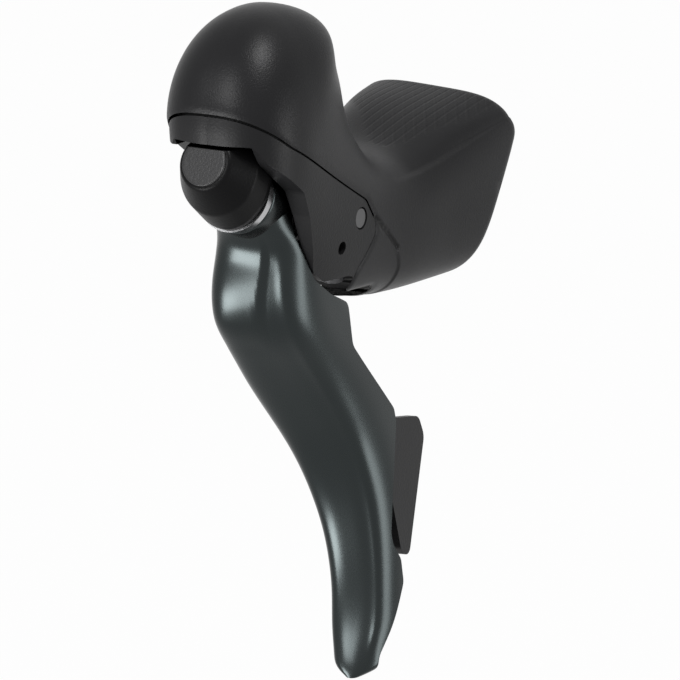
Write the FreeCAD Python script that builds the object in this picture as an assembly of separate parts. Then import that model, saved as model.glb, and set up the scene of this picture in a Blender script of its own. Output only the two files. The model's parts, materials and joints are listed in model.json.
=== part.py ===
import FreeCAD, Part
import math
import os

from FreeCAD import Vector

# Left-hand drop-bar lever for a hydraulic brake with a cable gear shifter.
# Millimetres. Origin: centre of the handlebar clamp. +X outboard, +Y to the rear, +Z up.

# Handlebar clamp
BAR_DIAMETER = 24.0
BAR_TILT = 40.0                 # the bar leans back by this much from upright
BAR_GAP = 0.15                  # clearance round the bar in the saddle
HOOD_BAR_GAP = 0.55             # clearance round the bar in the hood
SADDLE_AHEAD = 6.4              # the bracket's rear face, from the bar's axis
BAND_WIDTH = 9.0
BAND_THICKNESS = 0.8
BRIDGE_AHEAD = 15.2             # inner face of the band's front bridge, from the bar's axis
NUT_THICKNESS = 2.2
NUT_HALF_LENGTH = 6.5
CLAMP_BOLT_DIAMETER = 4.5
CLAMP_BOLT_HEAD = 7.0
CLAMP_HEAD_HEIGHT = 3.0
CLAMP_BOLT_SEAT = 17.9          # where the bolt's head seats, from the bar's axis
CLAMP_BOLT_TIP = 0.7            # the bolt's end stands out of the nut plate by this much

# Brake pivot
PIVOT_AHEAD = 64.0              # axle ahead of the bar's axis
PIVOT_RISE = 7.0                # axle above the bar's centre
AXLE_DIAMETER = 5.4
AXLE_IN = 14.6                  # the axle's inboard end
AXLE_OUT = 14.5                 # the axle's outboard end
AXLE_FIT = 0.05                 # running clearance, on the radius
CHEEK_GAP = 10.2                # half of the pocket between the two cheeks
HEAD_FIT = 0.3                  # side clearance of the lever head in the pocket
BUSH_RADIUS = 4.0
BUSH_LENGTH = 6.0
CLIP_RADIUS = 4.4
CLIP_ROOM = 0.4                 # the clip's counterbore is wider by this much, on the radius
REACH_AHEAD = 72.5              # the reach screw's hole in the outboard cheek
REACH_RISE = 1.5
REACH_HOLE_DIAMETER = 3.2
REACH_SCREW_IN = 10.8           # the reach screw's inner end
REACH_SCREW_LENGTH = 2.0

# Hood and bracket envelope
HOOD_WALL = 2.2
HOOD_FIT = 0.12                 # between the hood and the bracket under it
LIP_INSET = 0.5                 # the bare bracket lies this much below the hood's surface
EDGE_GAP = 0.35                 # shadow gap between the hood's edge and the bracket
RIM_STEP = 1.2                  # the bracket ends this far ahead of the hood's rear rim
FAN_AHEAD = 50.0                # the sections turn about this line, above the saddle
FAN_RISE = 62.0
SECTION_POINTS = 28
SEAT = 0.03                     # gap between pieces that seat on each other
PRESS = 0.02                    # gap round pieces pressed or screwed into a bore
WIDE = 40.0                     # half width of the blocks that trim the forms
FAR = 250.0                     # reach of the blocks that trim the forms

# Sections behind the horn: place, top, bottom, half width, squareness, top's tilt, inboard flare
GRIP_STATIONS = [
    (16.0, 28.4, -18.0, 20.4, 4.4, 0.05, 3.6),
    (2.0, 26.4, -18.2, 19.9, 4.2, 0.07, 3.2),
    (-10.0, 24.8, -18.4, 19.0, 3.8, 0.14, 2.6),
    (-24.0, 21.8, -18.5, 17.7, 3.2, 0.18, 1.6),
    (-38.0, 18.4, -18.0, 16.6, 2.8, 0.10, 0.5),
]
# Sections of the horn, turned about the fan line: angle, inner radius, outer radius, half width, squareness
HORN_STATIONS = [
    (0.0, 42.0, 79.0, 15.6, 2.7),
    (16.0, 34.4, 79.0, 15.2, 2.7),
    (32.0, 28.0, 77.4, 15.6, 2.7),
    (46.0, 24.8, 74.4, 16.6, 2.8),
]
# The dome on the horn's end: its sections shrink like those of an ellipsoid
DOME_START = 58.0               # degrees on the fan
DOME_END = 87.4
DOME_MIDDLE = (46.6, 37.6)      # middle radius on the fan, at the start and at the end
DOME_HALF_DEPTH = 22.8
DOME_HALF_WIDTH = 17.2
DOME_SQUARENESS = (2.7, 2.2)
DOME_STEPS = (0.0, 0.32, 0.58, 0.77, 0.89, 0.96, 0.99)

# Side-view lines, as corners (y, z, rounding): the hood's front edge and its rear rim
HOOD_EDGE = [
    (-130, 53, 0), (-99, 30.9, 12), (-61.5, 11.2, 5), (-55.8, 3.2, 3.5),
    (-63.8, -5.6, 5), (-65.2, -11.6, 1.5), (-51.5, -12.3, 4), (-47, -40, 0),
]
HOOD_RIM = [
    (-37.2, -60, 0), (6.9, 16, 4), (0.9, 27, 0), (-8, 130, 0), (-160, 130, 0), (-160, -60, 0),
]
# The bare bracket's front edge: outboard cheek and strip, then the inboard cheek
FRONT_EDGE = [
    (-130, 31.7, 0), (-107.2, 31.7, 0.6), (-104.2, 27.4, 6), (-92.2, 18.8, 4), (-88.6, 12.5, 6),
    (-82, -2.4, 4), (-76.4, -6.2, 4), (-65, -6.6, 2), (-63.5, -11.6, 1), (-52, -12, 3), (-49, -20, 0),
    (-49, -60, 0), (-130, -60, 0),
]
INBOARD_EDGE = [
    (-130, 30, 0), (-100, 30, 4), (-86, 21, 10), (-74, 12, 6), (-69, -5, 5), (-65, -6.6, 3),
    (-63.5, -11.6, 1), (-52, -12, 3), (-49, -20, 0), (-49, -60, 0), (-130, -60, 0),
]
INBOARD_FROM = -8.0             # the inboard cheek's edge is cut from here inboard
# The pocket between the cheeks, open below
POCKET = [
    (-107, -60, 0), (-107, 33.6, 1), (-103.2, 37.2, 3), (-76, 37.2, 6), (-68, 22, 8), (-54.4, 17, 6),
    (-54.4, -60, 0),
]

# Fluid pot in the horn, its lid and their screws
LID_PLANE = FAN_RISE - 12.0     # height of the seam between the pot and its lid
POT_WALL = 2.0
POT_DEPTH = 10.0
POT_FLOOR = LID_PLANE - POT_DEPTH
POT_REAR = -FAN_AHEAD - 16.0
LID_SCREW_Y = (-FAN_AHEAD - 28.5, -FAN_AHEAD - 45.5)
LID_SCREW_DIAMETER = 2.6
LID_SCREW_LENGTH = 9.0
LID_SCREW_HEAD = 4.6
LID_HEAD_HEIGHT = 1.5
LID_SCREW_SEAT = LID_PLANE + 2.0
LID_BOSS_RADIUS = 3.6
POT_BOSS_RADIUS = 3.0
BLEED_Y = -FAN_AHEAD - 38.0
BLEED_DIAMETER = 4.0
BLEED_LENGTH = 5.0
BLEED_HEAD = 6.0
BLEED_HEAD_HEIGHT = 1.4
BLEED_SEAT = FAN_RISE - 6.8
BLEED_BOSS_RADIUS = 4.4
BLEED_SEAL = 0.84               # thickness of the bleed screw's seal
CUP_DEPTH = 4.0                 # the diaphragm hangs this deep into the pot
CUP_WALL = 1.0
CUP_FIT = 0.15

# Ports in the underside, on the inboard side: the brake hose's, then the gear cable's
PORT_X = -10.8
HOSE_PORT_Y = -32.5
CABLE_PORT_Y = -44.0
PORT_TOP = -5.0
HOSE_PORT_DIAMETER = 6.0
GUIDE_DIAMETER = 6.4
GUIDE_BORE = 4.6
GUIDE_LENGTH = 9.95
HOOD_HOLE_RADIUS = 4.6

# Hydraulics
BORE_DIAMETER = 10.0
CYLINDER_DIAMETER = 14.0
CYLINDER_FRONT = -52.0
CYLINDER_REAR = -27.5
CYLINDER_END = 2.0              # thickness of the closed rear end
STOP_RING = 1.2
PUSH_PIN_DIAMETER = 6.0
PUSH_ARM = 13.2                 # the push pin lies this far below the pivot
PIN_BACK = 1.5                  # and this far behind it
PIN_END = 2.0                   # radius of the push pin's ends in their lugs
PUSH_GAP = 0.3
PUSH_ROD_RADIUS = 2.0
PISTON_FIT = 0.05
PISTON_LENGTH = 11.0
SEAL_PLACES = (1.6, 7.2)        # from the piston's front
SEAL_WIDTH = 1.8
SEAL_DEPTH = 1.5
PISTON_SPRING = (3.6, 0.4, 5.0)     # coil radius, wire radius, turns
RETURN_SPRING = (3.4, 0.32, 4.0)
WIRE_SIDES = 6

# Shift unit in the lever head, and its places along the shift shaft from the named point forward
SHIFT_AHEAD = 97.0              # a point on the shift shaft's axis, ahead of the bar
SHIFT_RISE = 18.0
SHIFT_TILT = 22.0               # the shaft points forward and up by this much
SHAFT_DIAMETER = 5.0
SHAFT_PLACE = (-24.4, 0.8)
WALL_PLACE = (-24.0, -19.5)
WALL_RADIUS = 9.2
ARM_PLACE = -22.0
ARM_HALF = 6.6
HUB_RADIUS = 6.5
LUG_THICKNESS = 2.2
DRUM_PLACE = (-19.1, -12.1)
GROOVE_PLACE = (-17.6, -15.4)
GROOVE_DEPTH = 1.4
DRUM_RADIUS = 8.4
NOTCHES = 11
NOTCH_PITCH = 20.0
NOTCH_PLACE = -13.8
NOTCH_RADIUS = 0.8
RING_PLACE = (-11.6, -9.8)
RING_INSET = 0.3
COLLAR_PLACE = (-9.3, -1.1)
COLLAR_RADIUS = 9.3
NUT_PLACE = (-0.7, 0.9)
NUT_ACROSS = 7.6
RIM_PLACE = (-0.7, 1.25)
NOSE_RIM_RADIUS = 9.4
NOSE_RIM_BORE = 7.6
NOSE_ROOM = (1.2, 4.6)          # depth and radius of the nose's recess for the nut
# The nose's sections, square to the shaft: place, middle above the shaft, half width, half height
NOSE_STATIONS = [
    (1.3, 2.6, 9.6, 11.6),
    (4.5, 2.8, 10.0, 11.9),
    (8.0, 3.3, 10.3, 11.2),
    (10.5, 3.7, 9.8, 10.0),
    (13.2, 3.9, 8.5, 8.4),
    (15.6, 3.9, 6.9, 6.7),
    (16.4, 3.9, 6.2, 6.1),
]
# Room for the strip of the bracket over the nose, in the side view
NOSE_NOTCH = [(-130, 30.8, 0), (-104.9, 30.8, 0), (-104.9, 60, 0), (-130, 60, 0)]
PAD_RADIUS = 5.6
PAD_THICKNESS = 0.5

# Blade: height, front face, middle across, half width, half depth, squareness, slant of the front
BLADE_STATIONS = [
    (16.0, -97.5, 0.0, 8.8, 9.0, 2.3, 0.0),
    (10.0, -95.8, 0.0, 9.6, 9.5, 2.5, 2.0),
    (4.0, -92.6, 0.0, 10.6, 10.5, 2.8, 5.0),
    (-3.0, -91.0, 0.0, 11.6, 12.0, 3.2, 9.0),
    (-10.0, -90.2, 0.0, 12.1, 14.0, 3.4, 13.0),
    (-18.0, -87.2, 0.1, 12.1, 16.0, 3.6, 17.0),
    (-26.0, -81.7, 0.3, 12.1, 17.0, 3.6, 20.0),
    (-34.0, -75.1, 0.8, 12.1, 17.0, 3.6, 22.0),
    (-42.0, -69.0, 1.7, 11.8, 17.0, 3.6, 22.0),
    (-50.0, -63.7, 2.9, 11.1, 16.0, 3.5, 22.0),
    (-58.0, -59.8, 4.3, 10.3, 14.0, 3.4, 21.0),
    (-66.0, -57.4, 5.8, 9.5, 12.0, 3.3, 20.0),
    (-74.0, -56.5, 7.3, 8.8, 11.0, 3.2, 18.0),
    (-82.0, -56.8, 8.7, 8.2, 10.0, 3.1, 17.0),
    (-90.0, -58.2, 10.0, 7.8, 9.0, 3.0, 16.0),
    (-98.0, -60.8, 11.1, 7.3, 8.0, 2.8, 15.0),
    (-104.0, -63.4, 11.8, 6.0, 6.6, 2.5, 14.0),
    (-108.5, -64.4, 12.3, 3.0, 4.0, 2.2, 14.0),
]
BLADE_WALL = 2.2
CHANNEL_TOP = 8.0
CHANNEL_BOTTOM = -97.0
# The blade's rear edges in the side view: the deep outboard wall and the shallow inboard wall
OUTBOARD_REAR = [
    (-87.6, 30, 0), (-87.6, 8, 4), (-81.2, -4.5, 6), (-74, -9.5, 4), (-65.5, -13.5, 3), (-63.5, -24.5, 4),
    (-45.2, -44.5, 3), (-44.5, -48, 2), (-50.2, -77, 8), (-47, -82, 3), (-46.8, -88, 3), (-59, -104, 6),
    (-60, -120, 0), (-140, -120, 0), (-140, 30, 0),
]
INBOARD_REAR = [
    (-86, 30, 0), (-86, 6, 4), (-82, -10, 8), (-75, -26, 12), (-61, -44, 12), (-53.5, -57, 10),
    (-50, -72, 12), (-52, -88, 8), (-59, -104, 4), (-60, -120, 0), (-30, -130, 0), (-30, 40, 0),
]
INBOARD_WALL_FROM = -1.5        # the inboard wall's edge is cut from here inboard

# Release paddle in the side view: the ring's root, down the blade's channel, then the finger pad
PADDLE = [
    (-92, 10, 0), (-84.5, 16, 0), (-80.5, 2, 8), (-73, -15, 10), (-60, -33, 8), (-42, -48.5, 0),
    (-27.5, -51.5, 3), (-25.3, -57, 4), (-37.5, -86, 2), (-41, -82, 2), (-45, -62, 8), (-51, -53, 8),
    (-66, -33, 10), (-79, -15, 10), (-85.5, 1, 4), (-87.8, 5.9, 0), (-91, 7.4, 0),
]
PADDLE_THICKNESS = 2.4
PADDLE_GAP = 0.4                # room between the arm and what turns or stands behind its ring
# The neck that joins the ring to the arm, in the side view, and where it stands across
PADDLE_NECK = [(-91.4, 6.8, 0), (-89.85, 4.7, 0.5), (-87.3, 1.2, 2), (-83.5, -4, 0), (-80, 0, 0), (-84, 10, 0)]
NECK_ACROSS = (-1.0, 4.2)
PADDLE_LEAN = 4.9               # the paddle leans outboard with the blade, in degrees
PADDLE_X = 8.1                  # inboard face of the paddle at the height below
PADDLE_Z = -46.0

# Directions and points that follow from the sizes above
ORIGIN = Vector(0, 0, 0)
ACROSS = Vector(1, 0, 0)
BACK = Vector(0, 1, 0)
UP = Vector(0, 0, 1)
LEAN = math.radians(BAR_TILT)
BAR_UP = Vector(0, math.sin(LEAN), math.cos(LEAN))
BAR_OUT = Vector(0, -math.cos(LEAN), math.sin(LEAN))
PIVOT = Vector(0, -PIVOT_AHEAD, PIVOT_RISE)
REACH_HOLE = Vector(0, -REACH_AHEAD, REACH_RISE)
TILT = math.radians(SHIFT_TILT)
SHIFT_WAY = Vector(0, -math.cos(TILT), math.sin(TILT))
SHIFT_UP = Vector(0, math.sin(TILT), math.cos(TILT))
SHIFT_POINT = Vector(0, -SHIFT_AHEAD, SHIFT_RISE)
HEAD_HALF = CHEEK_GAP - HEAD_FIT
BAR_BORE = BAR_DIAMETER / 2 + BAR_GAP
CORE = HOOD_WALL + HOOD_FIT     # the bracket under the hood is drawn in by this much


def skin(rows):
    """A solid through rows of points; each row is closed, planar and starts and ends at the seam."""
    surface = Part.BSplineSurface()
    surface.interpolate(rows)
    side = surface.toShape()
    rims = []
    for edge in side.Edges:
        first = edge.valueAt(edge.FirstParameter)
        last = edge.valueAt(edge.LastParameter)
        if (first - last).Length < 1e-6:
            rims.append(edge)
    caps = [Part.Face(Part.Wire([rim])) for rim in rims]
    shell = Part.Shell([side] + caps)
    shell.sewShape()
    return Part.Solid(shell)


def rounded(points):
    """A closed wire in the side view through corners (y, z, radius), with tangent arcs at the corners."""
    corners = [(Vector(0, y, z), r) for y, z, r in points]
    edges = []
    ends = []
    for i, (corner, radius) in enumerate(corners):
        before = (corners[i - 1][0] - corner).normalize()
        after = (corners[(i + 1) % len(corners)][0] - corner).normalize()
        half = before.getAngle(after) / 2
        if radius == 0:
            ends.append((corner, corner, None))
            continue
        reach = radius / math.tan(half)
        middle = (before + after).normalize()
        top = corner + middle * (radius / math.sin(half) - radius)
        ends.append((corner + before * reach, corner + after * reach, top))
    for i, (start, end, top) in enumerate(ends):
        if top is not None:
            edges.append(Part.Arc(start, top, end).toShape())
        following = ends[(i + 1) % len(ends)][0]
        if (following - end).Length > 1e-6:
            edges.append(Part.LineSegment(end, following).toShape())
    return Part.Wire(edges)


def slab(points, low, high, grow=0.0):
    """The side-view outline, grown by grow, carried across from x = low to x = high."""
    area = sum(a[0] * b[1] - b[0] * a[1] for a, b in zip(points, points[1:] + points[:1]))
    face = Part.Face(rounded(points if area < 0 else points[::-1]))
    if grow:
        face = face.makeOffset2D(grow)
    face.translate(Vector(low, 0, 0))
    return face.extrude(Vector(high - low, 0, 0))


def superellipse(half_width, half_height, power):
    """Points of a rounded-square curve |x/a|^power + |v/b|^power = 1, from its lowest point once round."""
    points = []
    for k in range(SECTION_POINTS + 1):
        angle = 2 * math.pi * (k % SECTION_POINTS) / SECTION_POINTS - math.pi / 2
        c = math.cos(angle)
        s = math.sin(angle)
        x = half_width * math.copysign(abs(c) ** (2 / power), c)
        v = half_height * math.copysign(abs(s) ** (2 / power), s)
        points.append((x, v))
    return points


def envelope_rows(inset):
    """Closed sections of the hood's outer form, drawn in by inset."""
    rows = []
    for y, top, bottom, half, power, tilt, flare in GRIP_STATIONS:
        height = (top - bottom) / 2 - inset
        middle = (top + bottom) / 2
        ring = superellipse(half - inset, height, power)
        back = y + inset if y == GRIP_STATIONS[0][0] else y
        row = []
        for x, v in ring:
            wide = x * (1 + flare / half) if x < 0 else x
            row.append(Vector(wide, back, middle + v - tilt * x * max(v / height, 0)))
        rows.append(row)
    fan = list(HORN_STATIONS)
    dome_end = DOME_END - math.degrees(inset / DOME_MIDDLE[1])
    for step in DOME_STEPS:
        share = math.sqrt(1 - step * step)
        angle = DOME_START + step * (dome_end - DOME_START)
        middle = DOME_MIDDLE[0] + step * (DOME_MIDDLE[1] - DOME_MIDDLE[0])
        depth = (DOME_HALF_DEPTH - inset) * share + inset
        half = (DOME_HALF_WIDTH - inset) * share + inset
        power = DOME_SQUARENESS[1] + share * (DOME_SQUARENESS[0] - DOME_SQUARENESS[1])
        fan.append((angle, middle - depth, middle + depth, half, power))
    for angle, inner, outer, half, power in fan:
        turn = math.radians(angle)
        way = Vector(0, -math.sin(turn), -math.cos(turn))
        centre = Vector(0, -FAN_AHEAD, FAN_RISE) + way * ((inner + outer) / 2)
        ring = superellipse(half - inset, (outer - inner) / 2 - inset, power)
        rows.append([centre + Vector(x, 0, 0) - way * v for x, v in ring])
    return rows


def envelope(inset):
    """The hood's outer form as a solid, drawn in by inset."""
    return skin(envelope_rows(inset))


def rod(start, way, length, radius):
    """A round bar from start along way."""
    return Part.makeCylinder(radius, length, start, way)


def through(point, way, radius):
    """A long round bar through the point, both ways."""
    return rod(point - way * FAR, way, 2 * FAR, radius)


def tube(start, way, length, outer, inner):
    """A round tube from start along way."""
    return rod(start, way, length, outer).cut(rod(start - way, way, length + 2, inner))


def above(height):
    """A block over the horn that starts at the height."""
    return Part.makeBox(2 * WIDE, FAR, FAR, Vector(-WIDE, POT_REAR - FAR, height))


def clamp_slab(near, far, half, low, high):
    """A block square to the bar: from near to far ahead of its axis, half its height to each side."""
    corners = [(near, -half), (far, -half), (far, half), (near, half)]
    points = [BAR_OUT * a + BAR_UP * b for a, b in corners]
    return slab([(p.y, p.z, 0) for p in points], low, high)


def hex_socket(centre, way, across, depth):
    """A six-sided pocket for a key, sunk from centre against way."""
    points = []
    side = Vector(1, 0, 0) if abs(way.x) < 0.5 else Vector(0, 1, 0)
    other = way.cross(side)
    for k in range(7):
        angle = math.radians(60 * k)
        radius = across / math.sqrt(3)
        points.append(centre + side * (radius * math.cos(angle)) + other * (radius * math.sin(angle)))
    face = Part.Face(Part.makePolygon(points))
    return face.extrude(way * -depth)


def cap_screw(seat, way, shank, length, head, height, key):
    """A socket screw: the shank runs from the seat against way, the head stands on the seat."""
    screw = rod(seat, way, height, head / 2).fuse(rod(seat, way * -1, length, shank / 2))
    return screw.removeSplitter().cut(hex_socket(seat + way * height, way, key, height * 0.6))


def coil(start, way, size, height):
    """A helical spring of many-sided wire from start along way."""
    radius, wire, turns = size
    path = Part.makeHelix(height / turns, height, radius)
    corners = []
    for k in range(WIRE_SIDES + 1):
        angle = 2 * math.pi * (k % WIRE_SIDES) / WIRE_SIDES
        corners.append(Vector(radius + wire * math.cos(angle), 0, wire * math.sin(angle)))
    spring = Part.Wire(path).makePipeShell([Part.makePolygon(corners)], True, True)
    spring.Placement = FreeCAD.Placement(start, FreeCAD.Rotation(UP, way))
    return spring


def on_shaft(place):
    """The point on the shift shaft's axis at this place."""
    return SHIFT_POINT + SHIFT_WAY * place


def disc(place, outer, inner):
    """A ring round the shift shaft between two places."""
    length = place[1] - place[0]
    return tube(on_shaft(place[0]), SHIFT_WAY, length, outer, inner)


def side(points):
    """Vectors of the side view as rounded corners."""
    return [(p.y, p.z, r) for p, r in points]


def make_hood():
    """The rubber hood: a thin shell over the bracket, open at the rear rim and along the front edge."""
    region = HOOD_EDGE + [(FAR, -40, 0), (FAR, FAR, 0), (-130, FAR, 0)]
    hood = envelope(0.0).common(slab(region, -WIDE, WIDE))
    hood = hood.common(slab(HOOD_RIM, -WIDE, WIDE))
    hood = hood.cut(envelope(HOOD_WALL))
    hood = hood.cut(through(ORIGIN, BAR_UP, BAR_DIAMETER / 2 + HOOD_BAR_GAP))
    for y in (HOSE_PORT_Y, CABLE_PORT_Y):
        hood = hood.cut(rod(Vector(PORT_X, y, PORT_TOP), UP * -1, FAR, HOOD_HOLE_RADIUS))
    return hood


def make_bracket():
    """The plastic bracket: cheeks for the pivot, the fluid pot in the horn, cylinder bore and bar saddle."""
    region = HOOD_EDGE + [(-47, -60, 0), (-FAR, -60, 0), (-FAR, 53, 0)]
    bare = envelope(LIP_INSET).common(slab(region, -WIDE, WIDE, -EDGE_GAP))
    body = envelope(CORE).fuse(bare)
    body = body.common(clamp_slab(SADDLE_AHEAD, FAR, FAR, -WIDE, WIDE))
    body = body.common(slab(HOOD_RIM, -WIDE, WIDE, -RIM_STEP))
    body = body.cut(through(ORIGIN, BAR_UP, BAR_BORE))
    body = body.cut(slab(FRONT_EDGE, -WIDE, WIDE))
    body = body.cut(slab(INBOARD_EDGE, -WIDE, INBOARD_FROM))
    body = body.cut(slab(POCKET, -CHEEK_GAP, CHEEK_GAP))
    # the pot for the fluid and the seat of its lid
    body = body.cut(above(LID_PLANE))
    pot = envelope(CORE + POT_WALL).common(above(POT_FLOOR))
    for y in LID_SCREW_Y:
        pot = pot.cut(rod(Vector(0, y, POT_FLOOR - 1), UP, FAR, POT_BOSS_RADIUS))
    body = body.cut(pot)
    for y in LID_SCREW_Y:
        body = body.cut(rod(Vector(0, y, POT_FLOOR + 1), UP, FAR, LID_SCREW_DIAMETER / 2 + PRESS))
    # the axle's bore, the reach screw's hole, the cylinder's bore and the ports
    body = body.cut(through(PIVOT, ACROSS, AXLE_DIAMETER / 2 + PRESS))
    body = body.cut(rod(PIVOT - ACROSS * (AXLE_IN - 1.5), ACROSS * -1, FAR, CLIP_RADIUS + CLIP_ROOM))
    body = body.cut(rod(REACH_HOLE + ACROSS * (CHEEK_GAP - 1.2), ACROSS, WIDE, REACH_HOLE_DIAMETER / 2))
    rear = Vector(0, CYLINDER_REAR + PRESS, PIVOT_RISE - PUSH_ARM)
    depth = CYLINDER_REAR - CYLINDER_FRONT + 8
    body = body.cut(rod(rear, BACK * -1, depth, CYLINDER_DIAMETER / 2 + PRESS))
    ports = ((HOSE_PORT_Y, HOSE_PORT_DIAMETER / 2), (CABLE_PORT_Y, GUIDE_DIAMETER / 2 + PRESS))
    for y, radius in ports:
        body = body.cut(rod(Vector(PORT_X, y, PORT_TOP), UP * -1, FAR, radius))
    # slots for the clamp band's legs, the room for its bridge, the nut and the bolt
    half = BAND_WIDTH / 2 + 0.3
    front = BRIDGE_AHEAD + 1.2
    for low in (-BAR_BORE - BAND_THICKNESS - 0.6, BAR_BORE - 0.4):
        body = body.cut(clamp_slab(-5, front, half, low, low + BAND_THICKNESS + 1.0))
    wide = BAR_BORE + 1.2
    body = body.cut(clamp_slab(BRIDGE_AHEAD - NUT_THICKNESS - 0.5, front, half, -wide, wide))
    body = body.cut(rod(BAR_OUT * 10, BAR_OUT, WIDE, CLAMP_BOLT_DIAMETER / 2 + 0.1))
    return body.cut(rod(BAR_OUT * CLAMP_BOLT_SEAT, BAR_OUT, WIDE, CLAMP_BOLT_HEAD / 2 + 0.3))


def make_pot():
    """The fluid pot's domed lid, its diaphragm, the lid's screws and the bleed screw."""
    nodes = {}
    dome = envelope(CORE).common(above(LID_PLANE + SEAT))
    lid = dome.cut(envelope(CORE + POT_WALL).common(above(LID_PLANE - 1)))
    bosses = [(y, LID_BOSS_RADIUS) for y in LID_SCREW_Y] + [(BLEED_Y, BLEED_BOSS_RADIUS)]
    for y, radius in bosses:
        lid = lid.fuse(rod(Vector(0, y, LID_PLANE + SEAT), UP, WIDE, radius).common(dome))
    for y in LID_SCREW_Y:
        lid = lid.cut(rod(Vector(0, y, POT_FLOOR), UP, WIDE, LID_SCREW_DIAMETER / 2 + 0.1))
        lid = lid.cut(rod(Vector(0, y, LID_SCREW_SEAT), UP, WIDE, LID_SCREW_HEAD / 2 + 0.2))
    lid = lid.cut(rod(Vector(0, BLEED_Y, POT_FLOOR), UP, WIDE, BLEED_DIAMETER / 2 + PRESS))
    nodes["reservoir_lid"] = lid.cut(rod(Vector(0, BLEED_Y, BLEED_SEAT), UP, WIDE, BLEED_HEAD / 2 + 0.3))
    inset = CORE + POT_WALL + CUP_FIT
    cup = envelope(inset).common(above(LID_PLANE - CUP_DEPTH)).cut(above(LID_PLANE - 0.2))
    cup = cup.cut(envelope(inset + CUP_WALL).common(above(LID_PLANE - CUP_DEPTH + CUP_WALL)))
    for y in LID_SCREW_Y:
        cup = cup.cut(rod(Vector(0, y, POT_FLOOR), UP, WIDE, POT_BOSS_RADIUS + 0.2))
    nodes["reservoir_diaphragm"] = cup
    for name, y in zip(("lid_screw_rear", "lid_screw_front"), LID_SCREW_Y):
        seat = Vector(0, y, LID_SCREW_SEAT + SEAT)
        length = LID_SCREW_LENGTH
        nodes[name] = cap_screw(seat, UP, LID_SCREW_DIAMETER, length, LID_SCREW_HEAD, LID_HEAD_HEIGHT, 2.0)
    seal = Vector(0, BLEED_Y, BLEED_SEAT + SEAT)
    nodes["bleed_seal"] = tube(seal, UP, BLEED_SEAL, BLEED_HEAD / 2 + 0.1, BLEED_DIAMETER / 2 + 0.03)
    seat = seal + UP * (BLEED_SEAL + SEAT)
    screw = cap_screw(seat, UP, BLEED_DIAMETER, BLEED_LENGTH, BLEED_HEAD, BLEED_HEAD_HEIGHT, 2.5)
    nodes["bleed_screw"] = screw
    return nodes


def make_fixed():
    """Pieces that stay with the bracket."""
    nodes = {}
    nodes["bracket"] = make_bracket()
    nodes["hood"] = make_hood()
    nodes.update(make_pot())
    axle = rod(PIVOT - ACROSS * AXLE_IN, ACROSS, AXLE_IN + AXLE_OUT, AXLE_DIAMETER / 2)
    groove = tube(PIVOT - ACROSS * (AXLE_IN - 0.6), ACROSS, 0.7, AXLE_DIAMETER, AXLE_DIAMETER / 2 - 0.6)
    rim = [edge for edge in axle.Edges if edge.BoundBox.XMin > AXLE_OUT - 0.1]
    nodes["pivot_axle"] = axle.makeChamfer(0.4, rim).cut(groove)
    clip = tube(PIVOT - ACROSS * (AXLE_IN - 0.63), ACROSS, 0.64, CLIP_RADIUS, AXLE_DIAMETER / 2 - 0.57)
    nodes["axle_clip"] = clip.cut(Part.makeBox(2, 3.0, 6, Vector(-AXLE_IN, PIVOT.y - 1.5, PIVOT.z - 6)))
    screw = REACH_HOLE + ACROSS * REACH_SCREW_IN
    body = rod(screw, ACROSS, REACH_SCREW_LENGTH, REACH_HOLE_DIAMETER / 2 - SEAT)
    nodes["reach_screw"] = body.cut(hex_socket(screw + ACROSS * REACH_SCREW_LENGTH, ACROSS, 1.5, 1.2))
    guide = Vector(PORT_X, CABLE_PORT_Y, PORT_TOP - 0.05)
    nodes["cable_guide"] = tube(guide, UP * -1, GUIDE_LENGTH, GUIDE_DIAMETER / 2, GUIDE_BORE / 2)
    nodes.update(make_clamp())
    nodes.update(make_cylinder())
    return nodes


def make_clamp():
    """The band round the bar with its bridge, nut plate and bolt."""
    nodes = {}
    half = BAND_WIDTH / 2
    outer = BAR_BORE + BAND_THICKNESS
    front = BRIDGE_AHEAD + BAND_THICKNESS
    loop = tube(BAR_UP * -half, BAR_UP, BAND_WIDTH, outer, BAR_BORE)
    loop = loop.cut(clamp_slab(0, WIDE, WIDE, -WIDE, WIDE))
    for low in (-outer, BAR_BORE):
        loop = loop.fuse(clamp_slab(-0.2, front, half, low, low + BAND_THICKNESS))
    loop = loop.fuse(clamp_slab(BRIDGE_AHEAD, front, half, -BAR_BORE - 0.1, BAR_BORE + 0.1))
    loop = loop.cut(rod(BAR_OUT * 10, BAR_OUT, WIDE, CLAMP_BOLT_DIAMETER / 2 + 0.15))
    nodes["clamp_band"] = loop.removeSplitter()
    seat = BRIDGE_AHEAD - SEAT
    nut = clamp_slab(seat - NUT_THICKNESS, seat, half - 0.4, -NUT_HALF_LENGTH, NUT_HALF_LENGTH)
    nodes["clamp_nut"] = nut.cut(rod(BAR_OUT * 8, BAR_OUT, WIDE, CLAMP_BOLT_DIAMETER / 2 + SEAT))
    head = BAR_OUT * (CLAMP_BOLT_SEAT + SEAT)
    reach = CLAMP_BOLT_SEAT - BRIDGE_AHEAD + NUT_THICKNESS + CLAMP_BOLT_TIP
    bolt = cap_screw(head, BAR_OUT, CLAMP_BOLT_DIAMETER, reach, CLAMP_BOLT_HEAD, CLAMP_HEAD_HEIGHT, 4.0)
    nodes["clamp_bolt"] = bolt
    return nodes


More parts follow.
